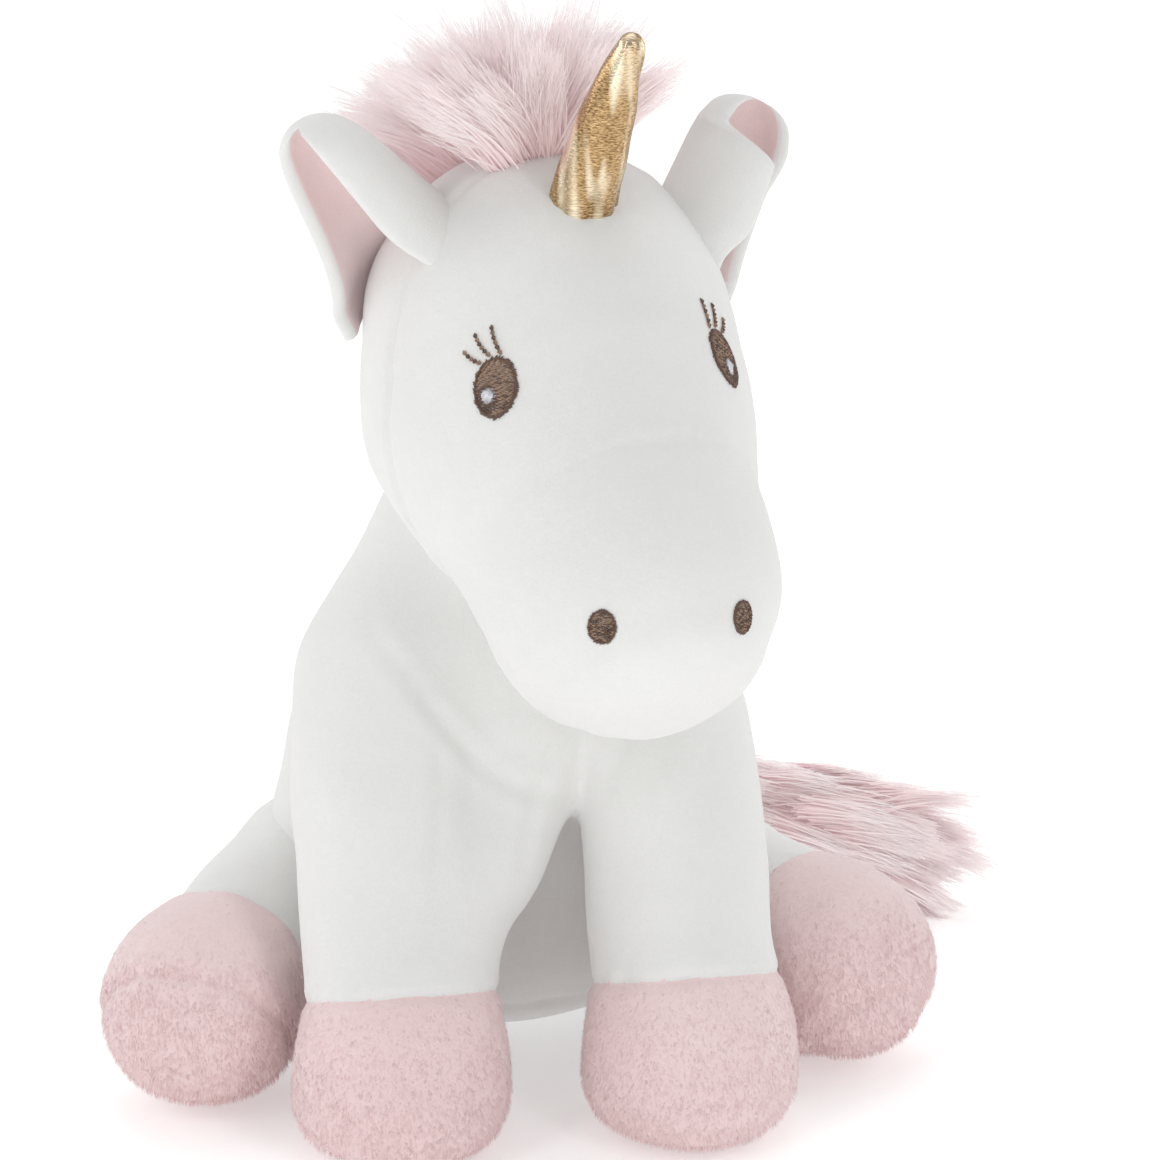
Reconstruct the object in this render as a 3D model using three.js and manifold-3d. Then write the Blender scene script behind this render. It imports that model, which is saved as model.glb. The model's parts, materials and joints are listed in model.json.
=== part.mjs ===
// A sitting plush unicorn about 300 mm tall: sewn fabric panels over fibrefill, with a
// pellet bag in the seat. Millimetres, +Z up, the animal faces -Y and its left is +X.
// The origin is the middle of the flat seat base, on the surface the toy sits on.
import * as THREE from "three";
import { mergeVertices } from "three/addons/utils/BufferGeometryUtils.js";
import Module from "manifold-3d";

const wasm = await Module();
wasm.setup();

// ---------------------------------------------------------------- driving dimensions
const FABRIC = 1.8; // thickness of the plush fabric with its backing
const GAP = 0.35; // between pieces that touch
const FAR = 400; // larger than the toy, for half-space cutters
const DOME_RINGS = 3; // steps from the rim of a rounded end to its pole

const NECK = { x: 3, y: -48, z: 140, r: 36 }; // a ball between the body and the head
const HEAD_YAW = 15.5; // degrees that the head looks to the animal's left
const SHOULDER = { x: 39, y: -76, z: 97, r: 24.5 };
const HIP = { x: 48, y: 2, z: 36, r: 27.5 };
const TAIL_ROOT = { x: 0, y: 60, z: 36, r: 8, socket: 13 };

// How far each limb swings up and forwards about the X axis, in degrees.
const FORELEG_SWING = 22;
const HIND_LIFT = 35;
const SWING_ROOM = 1.3; // room that a moving limb has in its socket

// ---------------------------------------------------------------- colours
const WHITE = plush(0xf4f3ee, 0.9);
const PINK = plush(0xecc8ca, 0.95);
const PALE_PINK = plush(0xf3d3d6, 0.95);
const FUR = plush(0xf3c9cd, 1.0);
const GOLD = new THREE.MeshStandardMaterial({ color: 0xb98a45, roughness: 0.35, metalness: 0.9 });
const BROWN = plush(0x5a4234, 0.6);
const THREAD_WHITE = plush(0xfafafa, 0.5);
const FILL = plush(0xffffff, 1.0);
const PELLETS = plush(0xdfe3e6, 0.8);

function plush(color, roughness) {
  return new THREE.MeshStandardMaterial({ color, roughness, metalness: 0 });
}

// ---------------------------------------------------------------- solids and cutters
const v3 = (x, y, z) => new THREE.Vector3(x, y, z);
const degrees = THREE.MathUtils.degToRad;

// A geometry as a manifold-3d solid, turned outside out if its faces point inwards.
function solidOf(geometry) {
  const bare = geometry.clone();
  bare.deleteAttribute("normal");
  bare.deleteAttribute("uv");
  const merged = mergeVertices(bare, 1e-3);
  const triVerts = new Uint32Array(merged.index.array);
  const vertProperties = merged.attributes.position.array;
  const made = new wasm.Manifold(new wasm.Mesh({ numProp: 3, vertProperties, triVerts }));
  if (made.volume() >= 0) return made;
  for (let i = 0; i < triVerts.length; i += 3) {
    [triVerts[i], triVerts[i + 1]] = [triVerts[i + 1], triVerts[i]];
  }
  return new wasm.Manifold(new wasm.Mesh({ numProp: 3, vertProperties, triVerts }));
}

function geometryOf(solid) {
  const { vertProperties, triVerts } = solid.getMesh();
  const position = new THREE.BufferAttribute(new Float32Array(vertProperties), 3);
  const geometry = new THREE.BufferGeometry().setAttribute("position", position);
  geometry.setIndex(new THREE.BufferAttribute(new Uint32Array(triVerts), 1));
  geometry.computeVertexNormals();
  return geometry;
}

const mirrored = (solid) => solidOf(geometryOf(solid).scale(-1, 1, 1));

// A box from its two corners.
function boxSolid(low, high) {
  const size = high.map((h, i) => h - low[i]);
  const middle = high.map((h, i) => (h + low[i]) / 2);
  return solidOf(new THREE.BoxGeometry(...size).translate(...middle));
}

// Everything on the side of a plane that its normal points to.
function halfSpace(point, normal) {
  const turn = new THREE.Quaternion().setFromUnitVectors(v3(0, 0, 1), normal.clone().normalize());
  const block = new THREE.BoxGeometry(2 * FAR, 2 * FAR, FAR).translate(0, 0, FAR / 2);
  return solidOf(block.applyQuaternion(turn).translate(point.x, point.y, point.z));
}

// A seam is a plane: a point on it and the direction of the piece ahead. Each piece behind a seam
// stops short of it by the gap.
const ahead = ({ at, facing }) => halfSpace(at, facing);
const aheadWithGap = ({ at, facing }) => halfSpace(at.clone().addScaledVector(facing, -GAP), facing);
function behind({ at, facing }) {
  return halfSpace(at.clone().addScaledVector(facing, -GAP), facing.clone().negate());
}
const above = (height) => halfSpace(v3(0, 0, height), v3(0, 0, 1));

// A solid turned about an axis along X through a point.
function turnedAboutX(solid, pivot, angle) {
  const geometry = geometryOf(solid).translate(-pivot.x, -pivot.y, -pivot.z);
  return solidOf(geometry.rotateX(degrees(angle)).translate(pivot.x, pivot.y, pivot.z));
}

// ---------------------------------------------------------------- lofted bodies
// Keys are [x, y, z, wide, deep]: an oval section's centre, its half width along X and its
// half depth. Rings follow a smooth line through the keys. Each end is flat, or a dome of
// the given depth. Sections lie square to the line, or level if told so.
function loft(keys, { sides = 12, perSpan = 1, domeStart = 0, domeEnd = 0, level = false } = {}) {
  const line = new THREE.CatmullRomCurve3(keys.map((k) => v3(k[0], k[1], k[2])));
  const radii = new THREE.CatmullRomCurve3(keys.map((k) => v3(k[3], k[4], 0)));
  const rings = [];
  const addRing = (t, along, share) => {
    const tangent = level ? v3(0, 0, Math.sign(line.getTangent(t).z)) : line.getTangent(t);
    const lateral = v3(1, 0, 0).addScaledVector(tangent, -tangent.x).normalize();
    const depth = tangent.clone().cross(lateral);
    const centre = line.getPoint(t).addScaledVector(tangent, along);
    const { x: wide, y: deep } = radii.getPoint(t);
    const ring = [];
    for (let i = 0; i < sides; i++) {
      const angle = (2 * Math.PI * i) / sides;
      const point = centre.clone().addScaledVector(lateral, wide * share * Math.cos(angle));
      ring.push(point.addScaledVector(depth, deep * share * Math.sin(angle)));
    }
    rings.push(ring);
  };
  for (let i = 1; i < DOME_RINGS && domeStart; i++) {
    const angle = (Math.PI / 2) * (i / DOME_RINGS);
    addRing(0, -domeStart * Math.cos(angle), Math.sin(angle));
  }
  const steps = (keys.length - 1) * perSpan;
  for (let i = 0; i <= steps; i++) addRing(i / steps, 0, 1);
  for (let i = DOME_RINGS - 1; i > 0 && domeEnd; i--) {
    const angle = (Math.PI / 2) * (i / DOME_RINGS);
    addRing(1, domeEnd * Math.cos(angle), Math.sin(angle));
  }
  const pole = (t, along) => {
    const tangent = level ? v3(0, 0, Math.sign(line.getTangent(t).z)) : line.getTangent(t);
    return line.getPoint(t).addScaledVector(tangent, along);
  };
  return closedRings(rings, pole(0, -domeStart), pole(1, domeEnd));
}

// A closed body through rings of equal length, with a fan to a pole at each end.
function closedRings(rings, startPole, endPole) {
  const sides = rings[0].length;
  const points = [...rings.flat(), startPole, endPole];
  const start = points.length - 2;
  const end = points.length - 1;
  const faces = [];
  for (let i = 0; i < sides; i++) {
    const j = (i + 1) % sides;
    faces.push(start, j, i);
    for (let r = 0; r + 1 < rings.length; r++) {
      const a = r * sides;
      const b = a + sides;
      faces.push(a + i, a + j, b + j, a + i, b + j, b + i);
    }
    const last = (rings.length - 1) * sides;
    faces.push(last + i, last + j, end);
  }
  const geometry = new THREE.BufferGeometry().setFromPoints(points);
  geometry.setIndex(faces);
  return geometryOf(solidOf(geometry));
}

// The body with every point moved out along its normal, or in by a negative distance.
function grown(geometry, distance) {
  const copy = mergeVertices(geometry.clone(), 1e-3);
  copy.computeVertexNormals();
  const { position, normal } = copy.attributes;
  for (let i = 0; i < position.count; i++) {
    position.setXYZ(
      i,
      position.getX(i) + normal.getX(i) * distance,
      position.getY(i) + normal.getY(i) * distance,
      position.getZ(i) + normal.getZ(i) * distance,
    );
  }
  return copy;
}

// A sewn cover as a hollow skin, and the fibrefill that it holds.
function coverAndFill(geometry) {
  const skin = solidOf(geometry).subtract(solidOf(grown(geometry, -FABRIC)));
  return { skin, fill: solidOf(grown(geometry, -FABRIC - GAP)) };
}

// ---------------------------------------------------------------- scene graph
const toy = new THREE.Group();
const head = new THREE.Group();
head.position.set(NECK.x, NECK.y, 0);
head.rotation.z = degrees(HEAD_YAW);
toy.add(head);

function addPart(name, solid, material, parent = toy) {
  const mesh = new THREE.Mesh(geometryOf(solid), material);
  mesh.name = name;
  parent.add(mesh);
}

// ---------------------------------------------------------------- forelegs
// Keys run from the shoulder's centre down to the hoof, for the animal's left leg.
const FORELEG_KEYS = [
  [SHOULDER.x, SHOULDER.y, SHOULDER.z, SHOULDER.r, SHOULDER.r],
  [39, -88, 73, 24.5, 24.5],
  [39.5, -100, 48, 24.5, 25],
  [40, -109, 27, 29, 30.5],
  [40, -114, 13, 27.5, 29.5],
];
const FORELEG_SEAM = { at: v3(39.5, -102, 44), facing: v3(0, -0.36, -0.93) };
const SOLE_TOP = 9; // height of the seam round a front sole

// ---------------------------------------------------------------- hind legs
// Keys run from the hip's centre forwards and outwards to the hoof, for the left leg.
const HIND_KEYS = [
  [HIP.x, HIP.y, HIP.z, HIP.r, HIP.r],
  [67, -26, 31, 26, 26.5],
  [80, -50, 29, 25, 26.5],
  [90, -69, 28, 25.5, 28],
  [96, -80, 27.5, 23.5, 26],
];
const HIND_SEAM = { at: v3(82, -53, 30), facing: v3(0.5, -0.86, -0.08) };
const HIND_SOLE = { at: v3(96, -80, 26), facing: v3(0.42, -0.72, -0.55) };

// One leg's pieces: a white sleeve, a pink hoof, its sole and the fibrefill.
function legPieces(keys, hinge, seam, sole, domeEnd) {
  const body = loft(keys, { domeStart: hinge.r, domeEnd });
  const outer = solidOf(body).intersect(above(0));
  const inner = solidOf(grown(body, -FABRIC)).intersect(above(FABRIC));
  const skin = outer.subtract(inner);
  return {
    sleeve: skin.subtract(aheadWithGap(seam)),
    hoof: skin.intersect(ahead(seam)).subtract(aheadWithGap(sole)),
    sole: skin.intersect(ahead(sole)),
    stuffing: solidOf(grown(body, -FABRIC - GAP)).intersect(above(FABRIC + GAP)),
  };
}

const FRONT_SOLE = { at: v3(0, 0, SOLE_TOP), facing: v3(0, 0, -1) };
const foreleg = legPieces(FORELEG_KEYS, SHOULDER, FORELEG_SEAM, FRONT_SOLE, 13);
const hindLeg = legPieces(HIND_KEYS, HIP, HIND_SEAM, HIND_SOLE, 15);

for (const [kind, pieces] of [["foreleg", foreleg], ["hind_leg", hindLeg]]) {
  for (const side of ["left", "right"]) {
    const placed = (solid) => (side === "left" ? solid : mirrored(solid));
    addPart(`${kind}_${side}_sleeve`, placed(pieces.sleeve), WHITE);
    addPart(`${kind}_${side}_hoof`, placed(pieces.hoof), PINK);
    addPart(`${kind}_${side}_sole`, placed(pieces.sole), PINK);
    addPart(`${kind}_${side}_stuffing`, placed(pieces.stuffing), FILL);
  }
}

// The room that a leg sweeps: its outer shape, made a little larger, in steps from rest to raised.
// Raising the hoof is a negative turn about +X.
function sweptRoom(keys, hinge, swing) {
  const UPPER_KEYS = 4; // only this much of a leg comes near the body
  const wider = keys.slice(0, UPPER_KEYS).map(([x, y, z, wide, deep]) => (
    [x, y, z, wide + SWING_ROOM, deep + SWING_ROOM]
  ));
  const leg = solidOf(loft(wider, { domeStart: hinge.r + SWING_ROOM, domeEnd: 4 }));
  const shares = [0, 0.25, 0.5, 0.75, 1];
  return shares.map((share) => turnedAboutX(leg, hinge, -swing * share)).reduce((a, b) => a.add(b));
}

const foreRoom = sweptRoom(FORELEG_KEYS, SHOULDER, FORELEG_SWING);
const hindRoom = sweptRoom(HIND_KEYS, HIP, HIND_LIFT);
const legRooms = foreRoom.add(hindRoom);

// ---------------------------------------------------------------- neck
// A ball that nods in the body's cup, and that the head turns on.
function neckBall(extra) {
  const ball = new THREE.SphereGeometry(NECK.r + extra, 16, 10).rotateX(Math.PI / 2);
  return ball.translate(NECK.x, NECK.y, NECK.z);
}

const NECK_ROOM = 1.3; // between the ball and its cups, more than its facets need as it turns
const NECK_CUP = solidOf(neckBall(NECK_ROOM));
const NECK_RIM = 26; // half height of the sewn ring round the ball, open at both ends
const neckRing = boxSolid([-FAR, -FAR, NECK.z - NECK_RIM], [FAR, FAR, NECK.z + NECK_RIM]);
addPart("neck_cover", solidOf(neckBall(0)).subtract(solidOf(neckBall(-FABRIC))).intersect(neckRing), WHITE);
addPart("neck_stuffing", solidOf(neckBall(-FABRIC - GAP)), FILL);

// ---------------------------------------------------------------- torso
const TORSO_KEYS = [
  [0, 0, 0, 43, 36],
  [0, 0, 9, 56, 46],
  [0, -1, 30, 64, 57],
  [0, -8, 58, 63, 55],
  [-1, -24, 88, 58.5, 50],
  [-1, -40, 117, 52, 44.5],
  [1.5, -47, 150, 43, 39.5],
];
const NECKLINE = { at: v3(0, -86, 121), facing: v3(0, -0.295, 0.955) }; // the body's slanting top
const belowNeckline = halfSpace(NECKLINE.at, NECKLINE.facing.clone().negate());
const torsoBody = loft(TORSO_KEYS, { sides: 22, level: true });
const torso = coverAndFill(torsoBody);
const tailSocket = solidOf(new THREE.SphereGeometry(TAIL_ROOT.socket, 10, 6)
  .translate(TAIL_ROOT.x, TAIL_ROOT.y, TAIL_ROOT.z));
const sockets = legRooms
  .add(mirrored(legRooms))
  .add(NECK_CUP)
  .add(tailSocket);

const SEAT_SEAM = 12; // height of the seam between the seat panel and the rest
const GUSSET = 17; // half width of the belly gusset
const aboveSeat = above(SEAT_SEAM + GAP);
const belowSeat = halfSpace(v3(0, 0, SEAT_SEAM), v3(0, 0, -1));
const bellyStrip = boxSolid([-GUSSET, -FAR, 0], [GUSSET, -20, FAR]);
const bellyStripWide = boxSolid([-GUSSET - GAP, -FAR, 0], [GUSSET + GAP, -20, FAR]);
const torsoSkin = torso.skin.intersect(belowNeckline).subtract(sockets);
const largestOf = (solid) => solid.decompose().sort((a, b) => b.volume() - a.volume())[0];

addPart("seat_panel", largestOf(torsoSkin.intersect(belowSeat)), WHITE);
addPart("belly_gusset", largestOf(torsoSkin.intersect(aboveSeat).intersect(bellyStrip)), WHITE);
for (const [side, sign] of [["left", 1], ["right", -1]]) {
  const half = halfSpace(v3((sign * GAP) / 2, 0, 0), v3(sign, 0, 0));
  const panel = torsoSkin.intersect(aboveSeat).subtract(bellyStripWide).intersect(half);
  addPart(`side_panel_${side}`, largestOf(panel), WHITE);
}
const PELLET_TOP = 22;
const torsoFill = torso.fill.intersect(behind(NECKLINE)).subtract(sockets);
addPart("pellet_bag", largestOf(torsoFill.subtract(above(PELLET_TOP))), PELLETS);
addPart("body_stuffing", largestOf(torsoFill.intersect(above(PELLET_TOP + GAP))), FILL);

// ---------------------------------------------------------------- head
// Keys run down the face from the back of the skull to the muzzle, in the head's own frame.
const HEAD_KEYS = [
  [6.5, 16, 228, 42, 46],
  [6.5, -2, 212, 49, 54],
  [5.5, -22, 193, 49, 54],
  [4, -41, 177.5, 46, 48.5],
  [2.2, -54, 167, 42, 43],
  [1, -68, 156, 41, 41],
  [0, -81, 146.5, 37, 36],
];
const HEAD_MIDDLE = 5.5; // where the seam down the back of the head runs
const FACE_AXIS = v3(0, -0.794, -0.608); // down the face
const FACE_UP = v3(0, -0.608, 0.794); // square to it, out of the forehead
const headBody = loft(HEAD_KEYS, { sides: 20, domeStart: 22, domeEnd: 18 });
const neckCupInHead = solidOf(neckBall(NECK_ROOM).translate(-NECK.x, -NECK.y, 0));
const headCover = coverAndFill(headBody);
const headSkin = headCover.skin.subtract(neckCupInHead);
const MUZZLE_SEAM = { at: v3(0, -55, 166), facing: FACE_AXIS };
const JAW_DEPTH = 24; // from the middle of the muzzle down to the seam under the jaw
const JAW_SEAM = { at: v3(0, -54, 167).addScaledVector(FACE_UP, -JAW_DEPTH), facing: FACE_UP };
const CROWN_SEAM = { at: v3(0, -14, 200), facing: v3(0, -0.997, 0.08) }; // over the head, ear to ear

for (const [side, sign] of [["left", 1], ["right", -1]]) {
  const half = halfSpace(v3(HEAD_MIDDLE + (sign * GAP) / 2, 0, 0), v3(sign, 0, 0));
  const back = headSkin.intersect(behind(CROWN_SEAM)).intersect(half);
  addPart(`head_back_${side}`, largestOf(back), WHITE, head);
}
const front = headSkin.intersect(ahead(CROWN_SEAM));
const frontAboveJaw = front.intersect(ahead(JAW_SEAM));
addPart("face_panel", largestOf(frontAboveJaw.intersect(behind(MUZZLE_SEAM))), WHITE, head);
addPart("muzzle_panel", largestOf(frontAboveJaw.intersect(ahead(MUZZLE_SEAM))), WHITE, head);
addPart("jaw_gusset", largestOf(front.intersect(behind(JAW_SEAM))), WHITE, head);
addPart("head_stuffing", headCover.fill.subtract(neckCupInHead), FILL, head);

// ---------------------------------------------------------------- embroidery
const THREAD = 0.9; // how far the stitches stand up from the fabric
const stitchBand = solidOf(grown(headBody, GAP + THREAD)).subtract(solidOf(grown(headBody, GAP)));

// A patch of stitches: an outline in the surface's own plane, pushed through the band.
// The outline's x runs towards the animal's left and its y up the face.
function stitched(outline, at, outwards) {
  const up = v3(0, 0, 1).addScaledVector(outwards, -outwards.z).normalize();
  const across = up.clone().cross(outwards);
  const frame = new THREE.Matrix4().makeBasis(across, up, outwards).setPosition(at);
  const REACH = 14;
  const prism = new THREE.ExtrudeGeometry(outline, { depth: REACH, bevelEnabled: false, curveSegments: 4 });
  return largestOf(stitchBand.intersect(solidOf(prism.translate(0, 0, -REACH / 2).applyMatrix4(frame))));
}

function oval(x, y, wide, tall) {
  return new THREE.Shape().absellipse(x, y, wide, tall, 0, 2 * Math.PI);
}

// One eyelash: a thin strip that leaves the eye's rim and curls outwards.
function lash(from, to, bend, width) {
  const middle = from.clone().add(to).multiplyScalar(0.5).add(bend);
  const side = to.clone().sub(from).normalize().multiplyScalar(width / 2);
  const across = new THREE.Vector2(-side.y, side.x);
  const shape = new THREE.Shape();
  shape.moveTo(from.x + across.x, from.y + across.y);
  shape.quadraticCurveTo(middle.x + across.x, middle.y + across.y, to.x, to.y);
  shape.quadraticCurveTo(middle.x - across.x, middle.y - across.y, from.x - across.x, from.y - across.y);
  return shape;
}

const EYE = { outwards: v3(0.62, -0.72, 0.3).normalize(), wide: 6.4, tall: 8.3 };
const HIGHLIGHT = { y: -2.4, wide: 1.5, tall: 2.1, room: 0.3 };
const NOSTRIL = { outwards: v3(0.5, -0.85, 0.18).normalize(), wide: 4, tall: 4.6 };
const LASHES = [
  { from: [5.0, 6.2], to: [10.8, 9.2], bend: [0.2, -1.0] },
  { from: [2.6, 8.3], to: [8.0, 14.0], bend: [0.9, -0.8] },
  { from: [-0.6, 9.2], to: [3.4, 17.2], bend: [1.0, -0.3] },
];
const LASH_WIDTH = 1.5;
// Where each side's eye and nostril are, and how far its highlight is from the middle of the eye.
const FACE_SIDES = [
  { side: "left", sign: 1, eye: v3(33, -60.2, 213.8), shine: 0.8, nostril: v3(16.2, -104.6, 156.4) },
  { side: "right", sign: -1, eye: v3(-30.8, -52.6, 210.9), shine: -2.0, nostril: v3(-22.9, -100.9, 158) },
];

for (const { side, sign, eye, shine, nostril } of FACE_SIDES) {
  const sided = v3(sign, 1, 1);
  const flat = ([x, y]) => new THREE.Vector2(x * sign, y);
  const stitch = (name, outline, at, outwards, material) => (
    addPart(`${name}_${side}`, stitched(outline, at, outwards.clone().multiply(sided)), material, head)
  );
  const light = (room) => oval(shine, HIGHLIGHT.y, HIGHLIGHT.wide + room, HIGHLIGHT.tall + room);
  const iris = oval(0, 0, EYE.wide, EYE.tall);
  iris.holes.push(light(HIGHLIGHT.room));
  stitch("iris", iris, eye, EYE.outwards, BROWN);
  stitch("eye_highlight", light(0), eye, EYE.outwards, THREAD_WHITE);
  LASHES.forEach(({ from, to, bend }, i) => {
    const strip = lash(flat(from), flat(to), flat(bend), LASH_WIDTH);
    stitch(`eyelash_${i + 1}`, strip, eye, EYE.outwards, BROWN);
  });
  stitch("nostril", oval(0, 0, NOSTRIL.wide, NOSTRIL.tall), nostril, NOSTRIL.outwards, BROWN);
}

// ---------------------------------------------------------------- horn
const HORN_KEYS = [
  [6.2, -30, 250, 9.2, 9.2],
  [6.5, -39, 269, 8.2, 8.2],
  [7.4, -46.5, 285.5, 6.3, 6.3],
  [8.8, -52, 298, 3.9, 3.9],
];
const hornBody = loft(HORN_KEYS, { domeEnd: 4 });
const hornCover = coverAndFill(hornBody);
const headWithGap = solidOf(grown(headBody, GAP));
addPart("horn_cover", largestOf(hornCover.skin.subtract(headWithGap)), GOLD, head);
addPart("horn_stuffing", largestOf(hornCover.fill.subtract(headWithGap)), FILL, head);

// ---------------------------------------------------------------- mane
// A strip of long-pile fur sewn along the middle of the skull, from the horn to the nape.
const MANE_KEYS = [
  [5.5, -9, 275, 14, 14],
  [5.5, 8, 283, 20, 21],
  [5, 31, 275, 21, 22],
  [4, 48, 253, 19, 22],
  [3, 57, 227, 15, 18],
  [3, 56, 207, 9, 11],
];
const BACKING = { half: 7, thick: 1.5 };
const maneBody = solidOf(loft(MANE_KEYS, { perSpan: 2, domeStart: 8, domeEnd: 8 }));
const backingBand = solidOf(grown(headBody, GAP + BACKING.thick)).subtract(headWithGap);
const maneStrip = boxSolid(
  [HEAD_MIDDLE - BACKING.half, -10, 200],
  [HEAD_MIDDLE + BACKING.half, 80, 320],
);
const aboveBacking = solidOf(grown(headBody, 2 * GAP + BACKING.thick));
addPart("mane_backing", largestOf(backingBand.intersect(maneStrip)), PALE_PINK, head);
addPart("mane_pile", largestOf(maneBody.subtract(aboveBacking)), FUR, head);

// ---------------------------------------------------------------- ears
// A leaf folded along its inner edge, open outwards: a white outer and a pink lining.
const EAR = { half: 31, white: 2.2, pink: 1.4 }; // half width of the flat leaf, and its two fabrics
const EARS = {
  left: { base: v3(45, -13, 230), tip: v3(70, -8, 271), opening: v3(0.62, -0.45, -0.64) },
  right: { base: v3(-38, -1, 243), tip: v3(-66, -6, 274.5), opening: v3(-0.62, -0.45, -0.64) },
};

// The leaf's half width at a share of its length, and how far round it is folded there.
const leafHalf = (u) => EAR.half * (0.72 + 0.75 * u) * Math.sqrt(Math.max(0, 1 - u ** 2.2));
const foldAngle = (u) => degrees(118 - 62 * u);

const EAR_ROWS = 6;

// An ear's directions: along it, out of its mouth, and the hinge through its base. A positive turn
// about the hinge folds it down.
function earAxes({ base, tip, opening }) {
  const along = tip.clone().sub(base).normalize();
  const open = opening.clone().addScaledVector(along, -opening.dot(along)).normalize();
  return { along, open, hinge: along.clone().cross(open), long: tip.distanceTo(base) };
}

function earSheet(ear, inset, thickness, rows) {
  const { along, open, hinge, long } = earAxes(ear);
  const END = 0.965;
  const COLUMNS = 8;
  const surfacePoint = (u, v, depth) => {
    const angle = foldAngle(u);
    const radius = leafHalf(u) / angle;
    const at = ear.base.clone().addScaledVector(along, u * long);
    const reach = Math.max(radius - depth, 0.3);
    at.addScaledVector(open, radius - reach * Math.cos(v * angle) - radius * 0.35);
    return at.addScaledVector(hinge, reach * Math.sin(v * angle));
  };
  const rings = [];
  for (let r = 0; r <= rows; r++) {
    const u = (r / EAR_ROWS) ** 0.85 * END;
    const ring = [];
    for (let c = 0; c <= COLUMNS; c++) ring.push(surfacePoint(u, (2 * c) / COLUMNS - 1, inset));
    for (let c = COLUMNS; c >= 0; c--) ring.push(surfacePoint(u, (2 * c) / COLUMNS - 1, inset + thickness));
    rings.push(ring);
  }
  return ringSheet(rings);
}

// A closed body through flat rings that are not star-shaped: each end is capped pair by pair.
function ringSheet(rings) {
  const sides = rings[0].length;
  const half = sides / 2;
  const faces = [];
  for (let r = 0; r + 1 < rings.length; r++) {
    for (let i = 0; i < sides; i++) {
      const a = r * sides;
      const b = a + sides;
      const j = (i + 1) % sides;
      faces.push(a + i, a + j, b + j, a + i, b + j, b + i);
    }
  }
  for (const [start, flip] of [[0, false], [(rings.length - 1) * sides, true]]) {
    for (let i = 0; i + 1 < half; i++) {
      const [a, b, c, d] = [start + i, start + i + 1, start + sides - 2 - i, start + sides - 1 - i];
      faces.push(...(flip ? [a, b, c, a, c, d] : [a, c, b, a, d, c]));
    }
  }
  const geometry = new THREE.BufferGeometry().setFromPoints(rings.flat());
  geometry.setIndex(faces);
  return geometry;
}

// An ear's base is trimmed to clear the head at every angle of its fold.
const EAR_ROOM = 0.9;
const EAR_FOLD = [-15, 30]; // degrees
const roomyHead = grown(headBody, EAR_ROOM);
for (const [side, ear] of Object.entries(EARS)) {
  const { hinge } = earAxes(ear);
  const headRooms = [EAR_FOLD[0], 0, EAR_FOLD[1] / 2, EAR_FOLD[1]].map((angle) => {
    const back = new THREE.Matrix4().makeTranslation(ear.base.clone().negate());
    const turn = new THREE.Matrix4().makeRotationAxis(hinge, degrees(-angle));
    const forth = new THREE.Matrix4().makeTranslation(ear.base);
    return solidOf(roomyHead.clone().applyMatrix4(forth.multiply(turn).multiply(back)));
  });
  const trimmed = (solid) => largestOf(headRooms.reduce((rest, room) => rest.subtract(room), solid));
  const outer = trimmed(solidOf(earSheet(ear, 0, EAR.white, EAR_ROWS)));
  const lining = trimmed(solidOf(earSheet(ear, EAR.white + 2 * GAP, EAR.pink, EAR_ROWS - 1)));
  addPart(`ear_${side}_outer`, outer, WHITE, head);
  addPart(`ear_${side}_lining`, lining, PALE_PINK, head);
}

// ---------------------------------------------------------------- tail
// A flat tail of long-pile fur that lies on the floor, swept round to the animal's left.
const TAIL_KEYS = [
  [TAIL_ROOT.x, TAIL_ROOT.y, TAIL_ROOT.z, TAIL_ROOT.r, TAIL_ROOT.r],
  [18, 75, 33, 11, 14],
  [56, 72, 27, 15, 22],
  [98, 53, 24.5, 17, 23.5],
  [138, 31, 21.5, 14, 20],
];

// A loft whose sections stand upright: half thickness across the line, and half height.
function uprightLoft(keys, { domeStart = 0, domeEnd = 0 } = {}) {
  const line = new THREE.CatmullRomCurve3(keys.map((k) => v3(k[0], k[1], k[2])));
  const radii = new THREE.CatmullRomCurve3(keys.map((k) => v3(k[3], k[4], 0)));
  const SIDES = 10;
  const STEPS = 8;
  const rings = [];
  const addRing = (t, along, share) => {
    const tangent = line.getTangent(t);
    const across = tangent.clone().cross(v3(0, 0, 1)).normalize();
    const rise = across.clone().cross(tangent);
    const centre = line.getPoint(t).addScaledVector(tangent, along);
    const { x: thick, y: tall } = radii.getPoint(t);
    rings.push(Array.from({ length: SIDES }, (_, i) => {
      const angle = (2 * Math.PI * i) / SIDES;
      const point = centre.clone().addScaledVector(across, thick * share * Math.cos(angle));
      return point.addScaledVector(rise, tall * share * Math.sin(angle));
    }));
  };
  const DOME = [degrees(30), degrees(60)];
  if (domeStart) for (const angle of DOME) addRing(0, -domeStart * Math.cos(angle), Math.sin(angle));
  for (let i = 0; i <= STEPS; i++) addRing(i / STEPS, 0, 1);
  if (domeEnd) {
    for (const angle of DOME.toReversed()) addRing(1, domeEnd * Math.cos(angle), Math.sin(angle));
  }
  const poleAt = (t, along) => line.getPoint(t).addScaledVector(line.getTangent(t), along);
  return solidOf(closedRings(rings, poleAt(0, -domeStart), poleAt(1, domeEnd)));
}

// The backing's half thickness, the pile beyond its edges, and how much larger its slot is.
const STRIP = { half: 1.6, margin: 9, room: 1.6 };
const stripKeys = TAIL_KEYS.slice(1).map(([x, y, z, , tall]) => [x, y, z, STRIP.half, tall - STRIP.margin]);
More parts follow.
